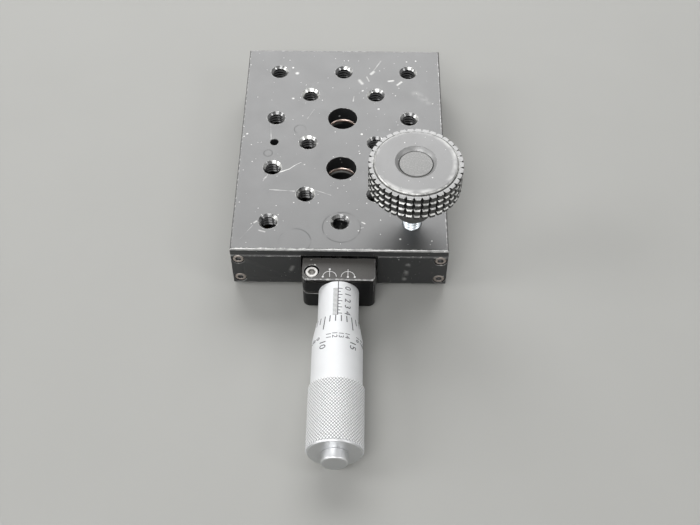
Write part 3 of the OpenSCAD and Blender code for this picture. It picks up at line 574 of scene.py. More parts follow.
def deck_marks(tree):
    """The deck's own scratches, scuffs and lint.

    Each row is start, end and half width in millimetres, then strength and brokenness.
    """
    marks = (
        (-28.4, -19.3, -26.9, -16.4, 0.22, 0.7, 0.6),
        (-28.2, -18.4, -27.5, -17.6, 0.5, 0.6, 0.5),
        (-22.9, -15.1, -19.1, -13.4, 0.26, 0.9, 0.0),
        (-19.1, -13.4, -16.7, -11.2, 0.26, 0.8, 0.0),
        (-16.7, -11.2, -14.9, -10.1, 0.3, 0.9, 0.2),
        (-25.8, -23.4, -16.8, -24.1, 0.3, 0.6, 0.2),
        (-9.5, -23.4, -3.5, -25.8, 0.26, 0.45, 0.3),
        (-35.4, -47.2, -30.7, -40.1, 0.2, 0.3, 0.5),
        (-27.3, 9.2, -26.7, 1.5, 0.2, 0.5, 0.4),
        (-13.5, 12.3, -11.0, 17.4, 0.22, 0.4, 0.5),
        (10.9, 37.4, 14.6, 44.6, 0.3, 0.45, 0.5),
        (10.8, 37.2, 11.8, 38.5, 0.8, 0.6, 0.0),
        (6.2, 33.5, 7.3, 31.8, 1.0, 0.6, 0.0),
        (9.1, 35.5, 10.0, 33.1, 0.5, 0.6, 0.5),
        (17.8, 33.2, 19.5, 33.6, 0.7, 0.8, 0.0),
        (21.1, 31.1, 22.7, 32.8, 0.7, 0.8, 0.0),
        (7.5, 27.7, 7.6, 27.8, 0.6, 1.0, 0.0),
        (4.2, 24.7, 3.9, 22.0, 0.35, 0.6, 0.0),
        (-18.5, 37.3, -18.4, 37.3, 0.95, 1.0, 0.0),
        (-19.4, 23.2, -19.3, 23.2, 0.6, 1.0, 0.0),
        (-30.3, -38.9, -29.5, -38.2, 0.5, 0.6, 0.0),
        (-28.3, -42.3, -26.3, -42.9, 0.5, 0.6, 0.3),
        (7.8, -38.2, 8.8, -38.8, 0.45, 0.9, 0.0),
        (7.5, -40.8, 8.3, -40.6, 0.35, 0.6, 0.0),
        (28.0, 26.5, 33.0, 22.0, 2.4, 0.14, 0.8),
    )
    lines = []
    for *ends, width, strength, broken in marks:
        start, end = at_deck(*ends[:2]), at_deck(*ends[2:])
        line = tree.group("Scratch", Start=start, End=end, Width=width * MM, Broken=broken)
        lines.append((line, strength))
    return strongest(tree, lines)


def knob_marks(tree):
    """A pale band painted just inside the edge of the knob's top: painted highlight."""
    shift = 0.0004
    centre = (KNOB_AXIS.x - shift, KNOB_AXIS.y + shift, KNOB_HIGH.z)
    return tree.times(tree.group("Ring Mark", Centre=centre, Radius=0.0135, Width=0.0014), 0.5)


def base_marks(tree):
    """Pale bands painted on the walls below the lips of the base's two bores, seen through the access
    holes, for the bright crescents there: painted highlight.
    """
    step, lip = settings("thread").hole_pitch / 2, 0.0138
    rings = [
        (tree.group("Ring Mark", Centre=(0.0, side * step, lip), Radius=BORE_R, Width=0.00022), 0.9)
        for side in (-1, 1)
    ]
    return strongest(tree, rings)


def cover_marks(tree):
    """Smears of dirt on the two front covers."""
    smears = []
    for x, high, low, width in ((0.0242, 0.013, 0.0045, 0.0013), (-0.0165, 0.0115, 0.0085, 0.0012)):
        start, end = (x, DECK_LOW.y, high), (x - 0.001, DECK_LOW.y, low)
        smears.append((tree.group("Scratch", Start=start, End=end, Width=width), 0.25))
    return strongest(tree, smears)


def deck_stains(tree):
    """Outlines of dried drops near the deck's front corner and behind its middle."""
    drops = (
        ((-16.0, 6.7), 0.0022), ((-27.4, -5.6), 0.0016), ((0.6, -40.5), 0.0067), ((-15.6, -47.0), 0.0056)
    )
    rings = [
        (tree.group("Ring Mark", Centre=at_deck(*spot), Radius=radius, Width=0.0003), 1.0)
        for spot, radius in drops
    ]
    return strongest(tree, rings)


def strongest(tree, marks):
    """At each point the strongest of the marks, which are pairs of a mask and its strength."""
    mask = 0.0
    for shape, strength in marks:
        mask = tree.maths("MAXIMUM", mask, tree.times(shape, strength))
    return mask


def at_deck(x_mm, y_mm):
    """A point on the deck's top face, from millimetres."""
    return (x_mm * MM, y_mm * MM, DECK_HIGH.z)


def turned(name, rgb, rough, centre, axis, depth=0.000002, tint=0.12, specks=0.06, metal=1.0):
    """Turned or ground metal with fine rings, small scratches and a little dirt."""
    made, tree, shader = start_material(name, metal=metal)
    rings = tree.group("Turned Rings", Centre=centre, Axis=axis, Cell=RING_CELL)
    cloud = tree.group("Grain", Cell=0.004, Detail=4.0)
    fine = tree.group("Grain", Cell=0.00012)
    dirt = tree.group("Specks", Share=specks, **DIRT)
    base = tree.mix(cloud, shade(rgb, 1 - tint), shade(rgb, 1 + tint * 0.5))
    base = tree.mix(tree.times(dirt, 0.5), base, shade(rgb, 0.35))
    tree.feed(shader["Base Color"], base)
    uneven = tree.plus(tree.times(rings, 0.6), tree.times(fine, 0.4))
    tree.feed(shader["Roughness"], tree.span(uneven, rough - 0.08, rough + 0.1))
    tree.feed(shader["Normal"], bump(tree, rings, depth))
    return made


def filled(name, rgb, rough):
    """Paint or ink in engraved marks, thin in places."""
    made, tree, shader = start_material(name)
    patch = tree.group("Grain", Cell=0.0003, Detail=3.0)
    tree.feed(shader["Base Color"], tree.mix(patch, shade(rgb, 0.7), shade(rgb, 1.5)))
    tree.feed(shader["Roughness"], tree.span(patch, rough - 0.1, rough + 0.1))
    return made


MICROMETER = {"centre": (0.0, 0.0, AXIS_Z), "axis": (0.0, 1.0, 0.0)}
KNOB_TURN = {"centre": (KNOB_AXIS.x, KNOB_AXIS.y, 0.0), "axis": (0.0, 0.0, 1.0)}
CHROME = {"tint": 0.04, **MICROMETER}
GRIP = {"depth": 0.0, "metal": 0.2, **CHROME}
# Each finish: its maker, a colour of the settings, a factor on it, roughness, and the maker's options.
FINISHES = {
    "deck_anodised": (
        anodised, "deck_colour", 1.0, 0.46, dict(marks=deck_marks, stains=deck_stains, dust=0.8, ior=2.1)
    ),
    "cover_anodised": (anodised, "cover_colour", 1.0, 0.4, dict(marks=cover_marks, dust=0.8, ior=1.65)),
    "base_anodised": (anodised, "cover_colour", 1.0, 0.4, dict(marks=base_marks, dust=0.1)),
    # The clamp block's top takes a lighter black as painted glare, its upright faces a darker black as
    # painted shade.
    "block_anodised": (anodised, "haze_colour", 1.0, 0.56, dict(dust=0.15, ior=1.6)),
    "block_side": (
        anodised, "block_colour", 0.5, 0.34, dict(wear=0.3, dust=0.15, scratched=0.15, ior=1.34)
    ),
    # The threads take a far darker black than the deck: painted shade in the holes.
    "thread_anodised": (
        anodised, "block_colour", 0.6, 0.16, dict(wear=0.1, dust=0.0, scratched=0.0, ior=1.6)
    ),
    # A pale line on the lower edge of the deck's front lip: painted highlight.
    "worn_line": (anodised, "dust_colour", 0.42, 0.4, dict(wear=0.4, dust=0.0, scratched=0.0, ior=1.9)),
    "knob_black": (anodised, "knob_colour", 1.0, 0.42, dict(wear=0.2, dust=0.4, ior=2.35)),
    "knob_top": (anodised, "knob_colour", 1.0, 0.42, dict(marks=knob_marks, dust=0.8, ior=2.3)),
    # The recess cone's lighter black is painted sheen.
    "knob_recess": (anodised, "knob_colour", 2.5, 0.4, dict(wear=0.5, dust=0.2, scratched=0.2, ior=3.0)),
    "tooth_black": (anodised, "knob_colour", 1.0, 0.4, dict(wear=0.1, dust=0.2, ior=1.7)),
    # The ledge's lighter black is painted highlight.
    "knob_ledge": (anodised, "knob_colour", 3.0, 0.4, dict(wear=0.2, dust=0.2, ior=2.6)),
    # The screws' hex sockets, painted dark: painted shade in the recess.
    "socket_black": (worn, "block_colour", 1.0, 0.5, dict(cell=0.0006, low=0.5, high=0.8)),
    "worn_rim": (worn, "block_colour", 1.0, 0.42, dict(cell=0.003, low=0.12, high=0.62)),
    "worn_edge": (worn, "block_colour", 1.0, 0.36, dict(cell=0.0014, low=0.4, high=0.75)),
    "worn_lip": (worn, "block_colour", 1.0, 0.34, dict(cell=0.004, low=0.1, high=0.5, bare="lip_colour")),
    "worn_mouth": (worn, "block_colour", 1.0, 0.2, dict(cell=0.0045, low=0.42, high=0.62)),
    # Bare patches on the knob's up-facing slopes: wear, and partly painted highlight, as they are picked
    # for facing up.
    "knob_worn": (worn, "knob_colour", 1.0, 0.42, dict(cell=0.0016, low=0.1, high=0.7)),
    "plug_black": (worn, "knob_colour", 2.0, 0.5, dict(cell=0.0005, low=0.35, high=0.8, tone=0.5)),
    "satin_chrome": (turned, "chrome_colour", 1.0, 0.62, dict(metal=0.25, **CHROME)),
    # Knurl tops a lighter chrome as painted highlight, groove flanks a darker one as painted shade.
    "knurl_chrome": (turned, "chrome_colour", 1.14, 0.5, GRIP),
    "groove_chrome": (turned, "chrome_colour", 0.64, 0.5, GRIP),
    # A darker chrome for the outer end faces of thimble and cap: painted shade.
    "end_chrome": (turned, "chrome_colour", 0.76, 0.4, dict(tint=0.08, **MICROMETER)),
    "cap_chrome": (turned, "chrome_colour", 0.88, 0.34, dict(tint=0.06, **MICROMETER)),
    "stage_steel": (turned, "steel_colour", 1.0, 0.24, MICROMETER),
    "screw_steel": (turned, "steel_colour", 0.8, 0.5, dict(tint=0.25, **KNOB_TURN)),
    "bronzed_steel": (turned, "bronze_colour", 1.0, 0.36, dict(tint=0.35, specks=0.2, **MICROMETER)),
    "spring_steel": (turned, "steel_colour", 0.85, 0.3, MICROMETER),
    "zinc_plate": (turned, "zinc_colour", 1.0, 0.28, KNOB_TURN),
    "sheet_brass": (turned, "brass_colour", 1.0, 0.35, MICROMETER),
    "scale_ink": (filled, "ink_colour", 1.0, 0.6, {}),
    "fine_ink": (filled, "fine_ink_colour", 1.0, 0.6, {}),
    "white_paint": (filled, "paint_colour", 1.0, 0.6, {}),
}


def finish(name):
    """The material of that name, built when it is first asked for."""
    made = bpy.data.materials.get(name + "_finish")
    if made:
        return made
    maker, source, factor, rough, options = FINISHES[name]
    return maker(name, shade(getattr(settings("finish"), source), factor), rough, **options)


# Meshes


def micrometer_point(radius, angle, y):
    """A point round the micrometer's axis; the angle runs from the top towards +X."""
    return Vector((radius * math.sin(angle), y, AXIS_Z + radius * math.cos(angle)))


def upright(centre):
    """A function that gives the points round an upright axis through centre."""
    def point(radius, angle, z):
        return Vector((centre.x + radius * math.cos(angle), centre.y + radius * math.sin(angle), z))

    return point


knob_point = upright(KNOB_AXIS)


def turns(steps):
    """The angles of a number of even steps round a circle."""
    return [2 * math.pi * i / steps for i in range(steps)]


def rounded(outline, fillet, closed=False):
    """The outline with its corners rounded by up to fillet, with three points each."""
    made = []
    last = len(outline) - 1
    for i, corner in enumerate(outline):
        if not closed and i in (0, last):
            made.append(corner)
            continue
        here = Vector(corner)
        before = Vector(outline[i - 1]) - here
        after = Vector(outline[(i + 1) % len(outline)]) - here
        reach = min(fillet, before.length * 0.45, after.length * 0.45)
        start = here + before.normalized() * reach
        end = here + after.normalized() * reach
        for share in (0.0, 0.5, 1.0):
            bent = start.lerp(here, share).lerp(here.lerp(end, share), share)
            made.append((bent.x, bent.y))
    return made


def lathe(bm, point, outline, steps, closed=False):
    """Turns an outline of (radius, place along the axis) round the axis that point describes."""
    rings = []
    for radius, along in outline:
        if not radius:
            rings.append([bm.verts.new(point(0.0, 0.0, along))])
        else:
            rings.append([bm.verts.new(point(radius, angle, along)) for angle in turns(steps)])
    pairs = list(zip(rings, rings[1:]))
    if closed:
        pairs.append((rings[-1], rings[0]))
    for one, two in pairs:
        for i in range(steps):
            j = (i + 1) % steps
            corners = (one[i % len(one)], one[j % len(one)], two[j % len(two)], two[i % len(two)])
            corners = list(dict.fromkeys(corners))
            if len(corners) > 2:
                bm.faces.new(corners)


def loft(bm, loops, ring=False):
    """Joins closed loops of points, one after the other, into a closed bar or ring."""
    rings = [[bm.verts.new(p) for p in loop] for loop in loops]
    size = len(rings[0])
    for one, two in zip(rings, rings[1:] + rings[:1] if ring else rings[1:]):
        for i in range(size):
            j = (i + 1) % size
            bm.faces.new([one[i], one[j], two[j], two[i]])
    if not ring:
        bm.faces.new(rings[0])
        bm.faces.new(rings[-1])


def slab(bm, spot, u0, u1, v0, v1, steps=1):
    """A thin closed strip that lies on a curved face; spot(u, v, height) gives its points."""
    top = settings("scale").proud
    low = top - MARK_T
    loops = []
    for i in range(steps + 1):
        v = v0 + (v1 - v0) * i / steps
        loops.append([spot(u0, v, low), spot(u1, v, low), spot(u1, v, top), spot(u0, v, top)])
    loft(bm, loops)


def number_slab(bm, spot, text, tall):
    """Digits of a given height, cut into strips that spot(u, v, height) can bend."""
    cut = 0.0003
    curve = bpy.data.curves.new("digits", "FONT")
    curve.body = text
    carrier = add_object("digits", curve)
    flat = evaluated(carrier)
    bpy.data.objects.remove(carrier)
    bpy.data.curves.remove(curve)
    letters = bmesh.new()
    letters.from_mesh(flat)
    bpy.data.meshes.remove(flat)
    bmesh.ops.remove_doubles(letters, verts=letters.verts, dist=1e-5)
    low = [min(v.co[k] for v in letters.verts) for k in (0, 1)]
    high = [max(v.co[k] for v in letters.verts) for k in (0, 1)]
    scale = tall / (high[1] - low[1])
    for vert in letters.verts:
        vert.co = Vector([(vert.co[k] - (low[k] + high[k]) / 2) * scale for k in (0, 1)] + [0.0])
    for i in range(1, int(tall / cut) + 1):
        geometry = [*letters.verts, *letters.edges, *letters.faces]
        plane = (0.0, -tall / 2 + i * cut, 0.0)
        bmesh.ops.bisect_plane(letters, geom=geometry, plane_co=plane, plane_no=(0.0, 1.0, 0.0))
    raised = bmesh.ops.extrude_face_region(letters, geom=letters.faces[:], use_keep_orig=True)
    top = settings("scale").proud
    for vert in letters.verts:
        vert.co.z = top - MARK_T
    for item in raised["geom"]:
        if isinstance(item, bmesh.types.BMVert):
            item.co.z = top
    for vert in letters.verts:
        vert.co = spot(vert.co.x, vert.co.y, vert.co.z)
    bmesh.ops.recalc_face_normals(letters, faces=letters.faces[:])
    copy = bpy.data.meshes.new("digits")
    letters.to_mesh(copy)
    letters.free()
    bm.from_mesh(copy)
    bpy.data.meshes.remove(copy)


def helical_ridge(bm, centre, root, crest, pitch, low, high, steps=30):
    """One thread ridge that winds up from low to high; crest may lie inside or outside root."""
    total = int((high - low) / pitch * steps)
    foot, land, run_out = 0.42 * pitch, 0.08 * pitch, 6
    sink = math.copysign(0.00006, root - crest)
    loops = []
    for i in range(total + 1):
        angle = 2 * math.pi * i / steps
        z = low + pitch * i / steps
        grown = min(1.0, i / run_out, (total - i) / run_out)
        tip = root + (crest - root) * max(0.08, grown)
        out = Vector((math.cos(angle), math.sin(angle), 0))
        profile = ((root + sink, -foot), (tip, -land), (tip, land), (root + sink, foot))
        loops.append([Vector((centre.x, centre.y, 0)) + out * r + UP * (z + lift) for r, lift in profile])
    loft(bm, loops)


def wire(bm, centres, directions, radius):
    """A round wire along a line of points; directions are those that the wire faces."""
    loops = []
    for at, ahead in zip(centres, directions):
        side = ahead.cross(UP).normalized() if abs(ahead.z) < 0.99 else Vector((1, 0, 0))
        over = side.cross(ahead).normalized()
        loops.append([at + (side * math.cos(a) + over * math.sin(a)) * radius for a in turns(WIRE_SIDES)])
    loft(bm, loops)


def add_object(name, data):
    made = bpy.data.objects.new(name, data)
    bpy.context.scene.collection.objects.link(made)
    return made


def add_piece(name, bm, body, slot, finishes, nodes=(), sharp=32, sort=None):
    """Makes the piece, gives it its finishes and lets it ride on its body.

    sort(face) may pick each face's finish.
    """
    bmesh.ops.recalc_face_normals(bm, faces=bm.faces[:])
    if sort:
        for face in bm.faces:
            face.material_index = sort(face)
    mesh = bpy.data.meshes.new(name)
    bm.to_mesh(mesh)
    bm.free()
    for label in finishes:
        mesh.materials.append(finish(label))
    mesh.shade_smooth()
    mesh.set_sharp_from_angle(angle=math.radians(sharp))
    piece = add_object(name, mesh)
    modify(piece, "Even shading", "WEIGHTED_NORMAL", keep_sharp=True)
    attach(piece, body)
    if nodes:
        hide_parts(*nodes)
    return piece


def softened(node, name, slot, finishes, fine=None, broad=None, handled=None, sort=None, crisp=None):
    """A copy of a CAD node with its hard edges broken, which stands for the node.

    Edges whose middle handled() names get the broad break, and those that crisp() names get none.
    A second finish goes on the breaks, and sort(face, on_break) may pick another one.
    """
    look = settings("finish")
    fine = fine or look.edge_break
    broad = broad or fine
    source = frame["nodes"][node]
    bm = bmesh.new()
    bm.from_mesh(source.data)
    bmesh.ops.remove_doubles(bm, verts=bm.verts, dist=1e-7)
    bmesh.ops.dissolve_limit(bm, angle_limit=math.radians(0.4), verts=bm.verts, edges=bm.edges)
    weight = bm.edges.layers.float.new("bevel_weight_edge")
    for edge in bm.edges:
        if len(edge.link_faces) == 2 and edge.calc_face_angle(0.0) > math.radians(30):
            centre = (edge.verts[0].co + edge.verts[1].co) / 2
            if not (crisp and crisp(centre)):
                edge[weight] = 1.0 if handled and handled(centre) else fine / broad
    piece = add_piece(name, bm, source["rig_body"], slot, finishes, [node])
    modify(
        piece, "Edge break", "BEVEL", width=broad, segments=2, limit_method="WEIGHT", harden_normals=True,
        use_clamp_overlap=False, material=min(1, len(finishes) - 1),
    )
    if sort:
        for face in piece.data.polygons:
            face.material_index = sort(face, face.material_index == 1)


def modify(piece, name, kind, **options):
    """Adds a modifier with its options and keeps its result as the piece's own mesh."""
    made = piece.modifiers.new(name, kind)
    for key, value in options.items():
        setattr(made, key, value)
    result = evaluated(piece)
    piece.modifiers.clear()
    piece.data = result


def evaluated(shown):
    """The mesh that an object has after its modifiers, or the one of a text."""
    graph = bpy.context.evaluated_depsgraph_get()
    return bpy.data.meshes.new_from_object(shown.evaluated_get(graph))


def dress(node, label):
    """Gives a CAD node that stays its material."""
    shown = frame["nodes"][node]
    shown.data.materials.clear()
    shown.data.materials.append(finish(label))


# Pieces


class STAGE_OT_studio(bpy.types.Operator):
    """Makes the camera, the floor and the light"""

    bl_idname = "stage.studio"
    bl_label = "Studio"

    floor_half = 3.0
    plain_sky = 0.9

    def execute(self, context):
        studio = settings("studio")
        self.add_camera(studio)
        self.add_floor(studio)
        for side in SOFTBOXES:
            self.add_softbox(studio, side)
        self.set_sky(studio)
        context.scene.view_settings.view_transform = "Standard"
        return {"FINISHED"}

    def add_camera(self, studio):
        lens = bpy.data.cameras.new("camera")
        lens.lens = studio.camera_lens
        lens.sensor_width = 36.0
        lens.clip_start = 0.01
        camera = add_object("camera", lens)
        camera.location = studio.camera_place
        camera.rotation_euler = studio.camera_turn
        bpy.context.scene.camera = camera

    def add_floor(self, studio):
        mesh = bpy.data.meshes.new("floor")
        corners = [(x * self.floor_half, y * self.floor_half, 0) for x, y in SQUARE]
        mesh.from_pydata(corners, [], [(0, 1, 2, 3)])
        made, tree, shader = start_material("floor_paint")
        rgb = studio.floor_colour
        cloud = tree.group("Grain", Cell=0.05, Detail=3.0)
        tree.feed(shader["Base Color"], tree.mix(cloud, shade(rgb, 0.97), shade(rgb, 1.03)))
        shader["Roughness"].default_value = 0.65
        mesh.materials.append(made)
        floor = add_object("floor", mesh)

    def add_softbox(self, studio, side):
        azimuth, rise = getattr(studio, f"{side}_way")
        width, height = getattr(studio, f"{side}_size")
        level = getattr(studio, f"{side}_level")
        lamp = bpy.data.lights.new(f"{side}_softbox", "AREA")
        lamp.shape = "RECTANGLE"
        lamp.size = width
        lamp.size_y = height
        lamp.energy = level * math.pi * width * height
        softbox = add_object(lamp.name, lamp)
        out = Vector((math.sin(azimuth), math.cos(azimuth), 0)) * math.cos(rise) + UP * math.sin(rise)
        softbox.location = out * studio.light_far
        softbox.rotation_mode = "QUATERNION"
        softbox.rotation_quaternion = out.to_track_quat("Z", "Y")

    def set_sky(self, studio):
        """Even light from all sides; metal sees a brighter left than right."""
        sky = bpy.data.worlds.new("sky")
        sky.use_nodes = True
        bpy.context.scene.world = sky
        tree = Tree(sky.node_tree)
        way = tree.node("ShaderNodeTexCoord").outputs["Generated"]
        x = tree.node("ShaderNodeSeparateXYZ", {0: way}).outputs[0]
        seen = tree.span(x, studio.sky_left, studio.sky_right, -1.0, 1.0)
        path = tree.node("ShaderNodeLightPath").outputs
        mirror = tree.maths("MAXIMUM", path["Is Glossy Ray"], path["Is Transmission Ray"])
        level = studio.sky_level
        for ray, value in ((mirror, seen), (path["Is Camera Ray"], self.plain_sky)):
            level = tree.node("ShaderNodeMix", {0: ray, 2: level, 3: value}).outputs[0]
        back = sky.node_tree.nodes["Background"].inputs
        tree.feed(back["Strength"], level)
        back["Color"].default_value = (1.0, 1.0, 1.0, 1.0)


class STAGE_OT_works(bpy.types.Operator):
    """Finishes the pieces inside: rods, balls, cages, posts, spindle and stem"""

    bl_idname = "stage.works"
    bl_label = "Inner pieces"

    def execute(self, context):
        steel = (
            "base_rods", "carriage_rods_left", "carriage_rods_right", "bearing_balls_left",
            "bearing_balls_right", "base_spring_posts", "carriage_spring_posts", "push_pad",
            "micrometer_stem", "spindle", "spindle_tip",
        )
        for node in steel:
            dress(node, "stage_steel")
        for node in ("ball_cage_left", "ball_cage_right", "adjusting_nut"):
            dress(node, "sheet_brass")
        return {"FINISHED"}


class STAGE_OT_springs(bpy.types.Operator):
    """Winds the two return springs, which stretch between base and carriage"""

    bl_idname = "stage.springs"
    bl_label = "Return springs"

    def execute(self, context):
        for side in ("left", "right"):
            self.wind(f"return_spring_{side}")
        return {"FINISHED"}

    def wind(self, node):
        spring = settings("spring")
        low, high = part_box(node)
        at = (low + high) / 2
        front = low.y + spring.eye_r + spring.wire_r
        rear = high.y - spring.eye_r - spring.wire_r
        start = front + spring.eye_r + 2 * spring.wire_r
        end = rear - spring.eye_r - 2 * spring.wire_r
        steps = 14
        total = round((end - start) / spring.pitch) * steps
        points = []
        for i in range(total + 1):
            angle = 2 * math.pi * i / steps
            y = start + (end - start) * i / total
            out = Vector((math.cos(angle), 0, math.sin(angle))) * spring.coil_r
            points.append(Vector((at.x, y, at.z)) + out)
        bm = bmesh.new()
        ahead = [(b - a).normalized() for a, b in zip(points, points[1:])]
        wire(bm, points, ahead + ahead[-1:], spring.wire_r)
        for y in (front, rear):
            self.add_eye(bm, Vector((at.x, y, at.z)), spring)
        for eye, coil_end in ((front + spring.eye_r, start), (rear - spring.eye_r, end)):
            tail = [Vector((at.x, eye, at.z)), Vector((at.x + spring.coil_r, coil_end, at.z))]
            wire(bm, tail, [(tail[1] - tail[0]).normalized()] * 2, spring.wire_r)
        piece = add_piece(f"{node}_coil", bm, "base", "spring_steel", ["spring_steel"], [node])
        piece.parent = None
        del piece["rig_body"]
        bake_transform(piece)

    def add_eye(self, bm, centre, spring):
        """The ring of wire that hangs on a post."""
        loops = []
        for a in turns(28):
            out = Vector((math.cos(a), math.sin(a), 0))
            round_wire = [out * math.cos(s) + UP * math.sin(s) for s in turns(WIRE_SIDES)]
            loops.append([centre + out * spring.eye_r + way * spring.wire_r for way in round_wire])
        loft(bm, loops, ring=True)


class STAGE_OT_deck(bpy.types.Operator):
    """Dresses the carriage, the base and the end covers in worn black anodising"""

    bl_idname = "stage.deck"
    bl_label = "Deck, base and covers"

    bore_low = 0.013
    bore_near = 0.0003
    base_break = 0.00004
    ceiling = 0.0151
    wall = 0.0078
    lip_near = 0.0004
    rim_band = 0.001
    upright = 0.3

    def execute(self, context):
        skin = "black_anodised"
        softened(
            "carriage_body", "deck", skin,
            ["deck_anodised", "worn_rim", "worn_edge", "cover_anodised", "worn_line"],
            broad=settings("finish").broad_break, handled=self.on_rim,
            sort=self.sort, crisp=self.on_ceiling,
        )
        softened(
            "base_body", "base_casting", skin, ["base_anodised", "worn_lip"],
            fine=self.base_break, broad=settings("thread").lip_break, handled=self.on_bore,
        )
        for node in ("front_cover_left", "front_cover_right", "rear_cover"):
            softened(node, f"{node}_plate", skin, ["cover_anodised", "worn_edge"])
        return {"FINISHED"}

    def on_rim(self, point):
        """True on the outline of the deck's top face and on the front lip's lower edge."""
        inside = min(min(point.xy - DECK_LOW.xy), min(DECK_HIGH.xy - point.xy))
        return self.on_lip(point) or inside < self.rim_band and DECK_HIGH.z - point.z < ON_EDGE

    def on_ceiling(self, point):
        """True on the deck's underside, where the holes' edges lie too close to the notch."""
        return abs(point.z - self.ceiling) < ON_EDGE / 2 and abs(point.x) < DECK_HIGH.x - self.wall

    def on_lip(self, point):
        """True on the lower edge of the deck's front lip."""
        return point.y < DECK_LOW.y + self.lip_near and abs(point.z - COVER_HIGH.z) < self.lip_near

    def sort(self, face, on_break):
        """The front edges are rubbed most, the other edges less; the lip's lower edge gets a pale line as
        painted highlight, and upright faces get the darker cover finish as painted shade.
        """
        at = face.center
        if not on_break:
            # Upright faces, the hole walls among them, take the darker, less shiny cover finish: painted
            # shade.
            return 3 if abs(face.normal.z) < self.upright and at.z > COVER_LOW.z else 0
        if self.on_lip(at):
            return 4
        return 1 if max(at.y - DECK_LOW.y, DECK_HIGH.z - at.z) < self.rim_band / 2 else 2

    def on_bore(self, point):
        """True on the upper lips of the base's two bores, below the access holes."""
        step = settings("thread").hole_pitch / 2
        away = min(apart(point, Vector((0.0, side * step, 0.0))) for side in (-1, 1))
        return abs(away - BORE_R) < self.bore_near and point.z > self.bore_low


class STAGE_OT_threads(bpy.types.Operator):
    """Cuts the threads of the tapped deck holes"""

    bl_idname = "stage.threads"
    bl_label = "Deck threads"

    below = 0.00001
    land = 0.00012
    in_wall = 0.00003

    def execute(self, context):
        thread = settings("thread")
        ridges, mouths = bmesh.new(), bmesh.new()
        cone = thread.mouth_r - thread.minor_r
        high = DECK_HIGH.z - cone - thread.pitch * 0.3
        for spot in self.tapped_spots(thread.hole_pitch):
            notched = abs(spot.x) < BLOCK_HIGH.x and spot.y < thread.notch_back
            low = DECK_HIGH.z - (thread.lip_t if notched else thread.deck_t) + thread.pitch * 0.5
            if apart(spot, KNOB_AXIS) > thread.major_r:
                helical_ridge(ridges, spot, thread.major_r, thread.minor_r, thread.pitch, low, high)
                self.add_mouth(mouths, spot, thread, cone)
        # The threads are darker than the deck as painted shade in the holes.
        add_piece("deck_threads", ridges, "carriage", "black_anodised", ["thread_anodised"])
        add_piece("thread_mouths", mouths, "carriage", "black_anodised", ["worn_mouth"])
        return {"FINISHED"}

    def add_mouth(self, bm, spot, thread, cone):
        """The countersink's cone, down to the crest of the thread."""
        top, wall = DECK_HIGH.z - self.below, thread.major_r + self.in_wall
        foot, land = top - cone, self.land
        outline = [
            (thread.mouth_r, top), (thread.minor_r, foot), (thread.minor_r, foot - land),
            (wall, foot - 2 * land), (wall, top - 2 * land),
        ]
        lathe(bm, upright(spot), outline, 48, True)

    def tapped_spots(self, step):
        """Centres of the tapped holes: rows of three, two, two, two, two, two and three."""
        for row in range(-3, 4):
            columns = (-1, 1) if row % 2 == 0 else (-2, 0, 2) if abs(row) == 3 else (-2, 2)
            for column in columns:
                yield Vector((column * step / 2, row * step / 2, 0))


class STAGE_OT_block(bpy.types.Operator):
    """Dresses the clamp block and paints its two clamping symbols"""

    bl_idname = "stage.block"
    bl_label = "Clamp block"

    symbol_r = 0.00235
    symbol_x = 0.00317
    symbol_y = -0.0592
    stem = 0.0009
    line = 0.00021
    dot_r = 0.00037
    sunk = 0.00003
    screw_clear = 0.004

    def execute(self, context):
        softened(
            "clamp_block", "clamp_block_body", "black_anodised",
            ["block_anodised", "worn_edge", "block_side"],
            broad=settings("finish").broad_break, handled=self.on_rim, sort=self.sort,
        )
        bm = bmesh.new()
        self.add_symbol(bm, -self.symbol_x, -1, 1)
        self.add_symbol(bm, self.symbol_x, 1, 0)
        add_piece("clamp_symbols", bm, "base", "black_anodised", ["white_paint"])
        return {"FINISHED"}

    def sort(self, face, on_break):
        """The top is a lighter black as painted glare, and the upright faces a darker black as painted
        shade; the breaks are worn.
        """
        return 1 if on_break else 2 if abs(face.normal.z) < 0.5 else 0

    def on_rim(self, point):
        """True on the outline of the block's top face."""
        return BLOCK_HIGH.z - point.z < ON_EDGE and apart(point, CLAMP_SCREW) > self.screw_clear

    def add_symbol(self, bm, x, side, dot_up):
        """A half circle with a dot at one end, and a stem with a dot above or below."""
        def plain(u, v, height):
            return Vector((x + u, self.symbol_y + v, BLOCK_HIGH.z + height))

        def polar(radius, angle, height):
            return plain(radius * math.sin(angle), radius * math.cos(angle), height)

        half = self.line / 2
        quarter = math.pi / 2
        slab(bm, polar, self.symbol_r - half, self.symbol_r + half, -quarter, quarter, 20)
        slab(bm, plain, -half, half, 0.0, self.symbol_r + self.stem)
        self.add_dot(bm, plain(0.0, (self.symbol_r + self.stem) * dot_up, 0.0))
        self.add_dot(bm, plain(side * self.symbol_r, 0.0, 0.0))

    def add_dot(self, bm, centre):
        low, high = BLOCK_HIGH.z - self.sunk, BLOCK_HIGH.z + settings("scale").proud * 1.5
        lathe(bm, upright(centre), [(0.0, low), (self.dot_r, low), (self.dot_r, high), (0.0, high)], 16)


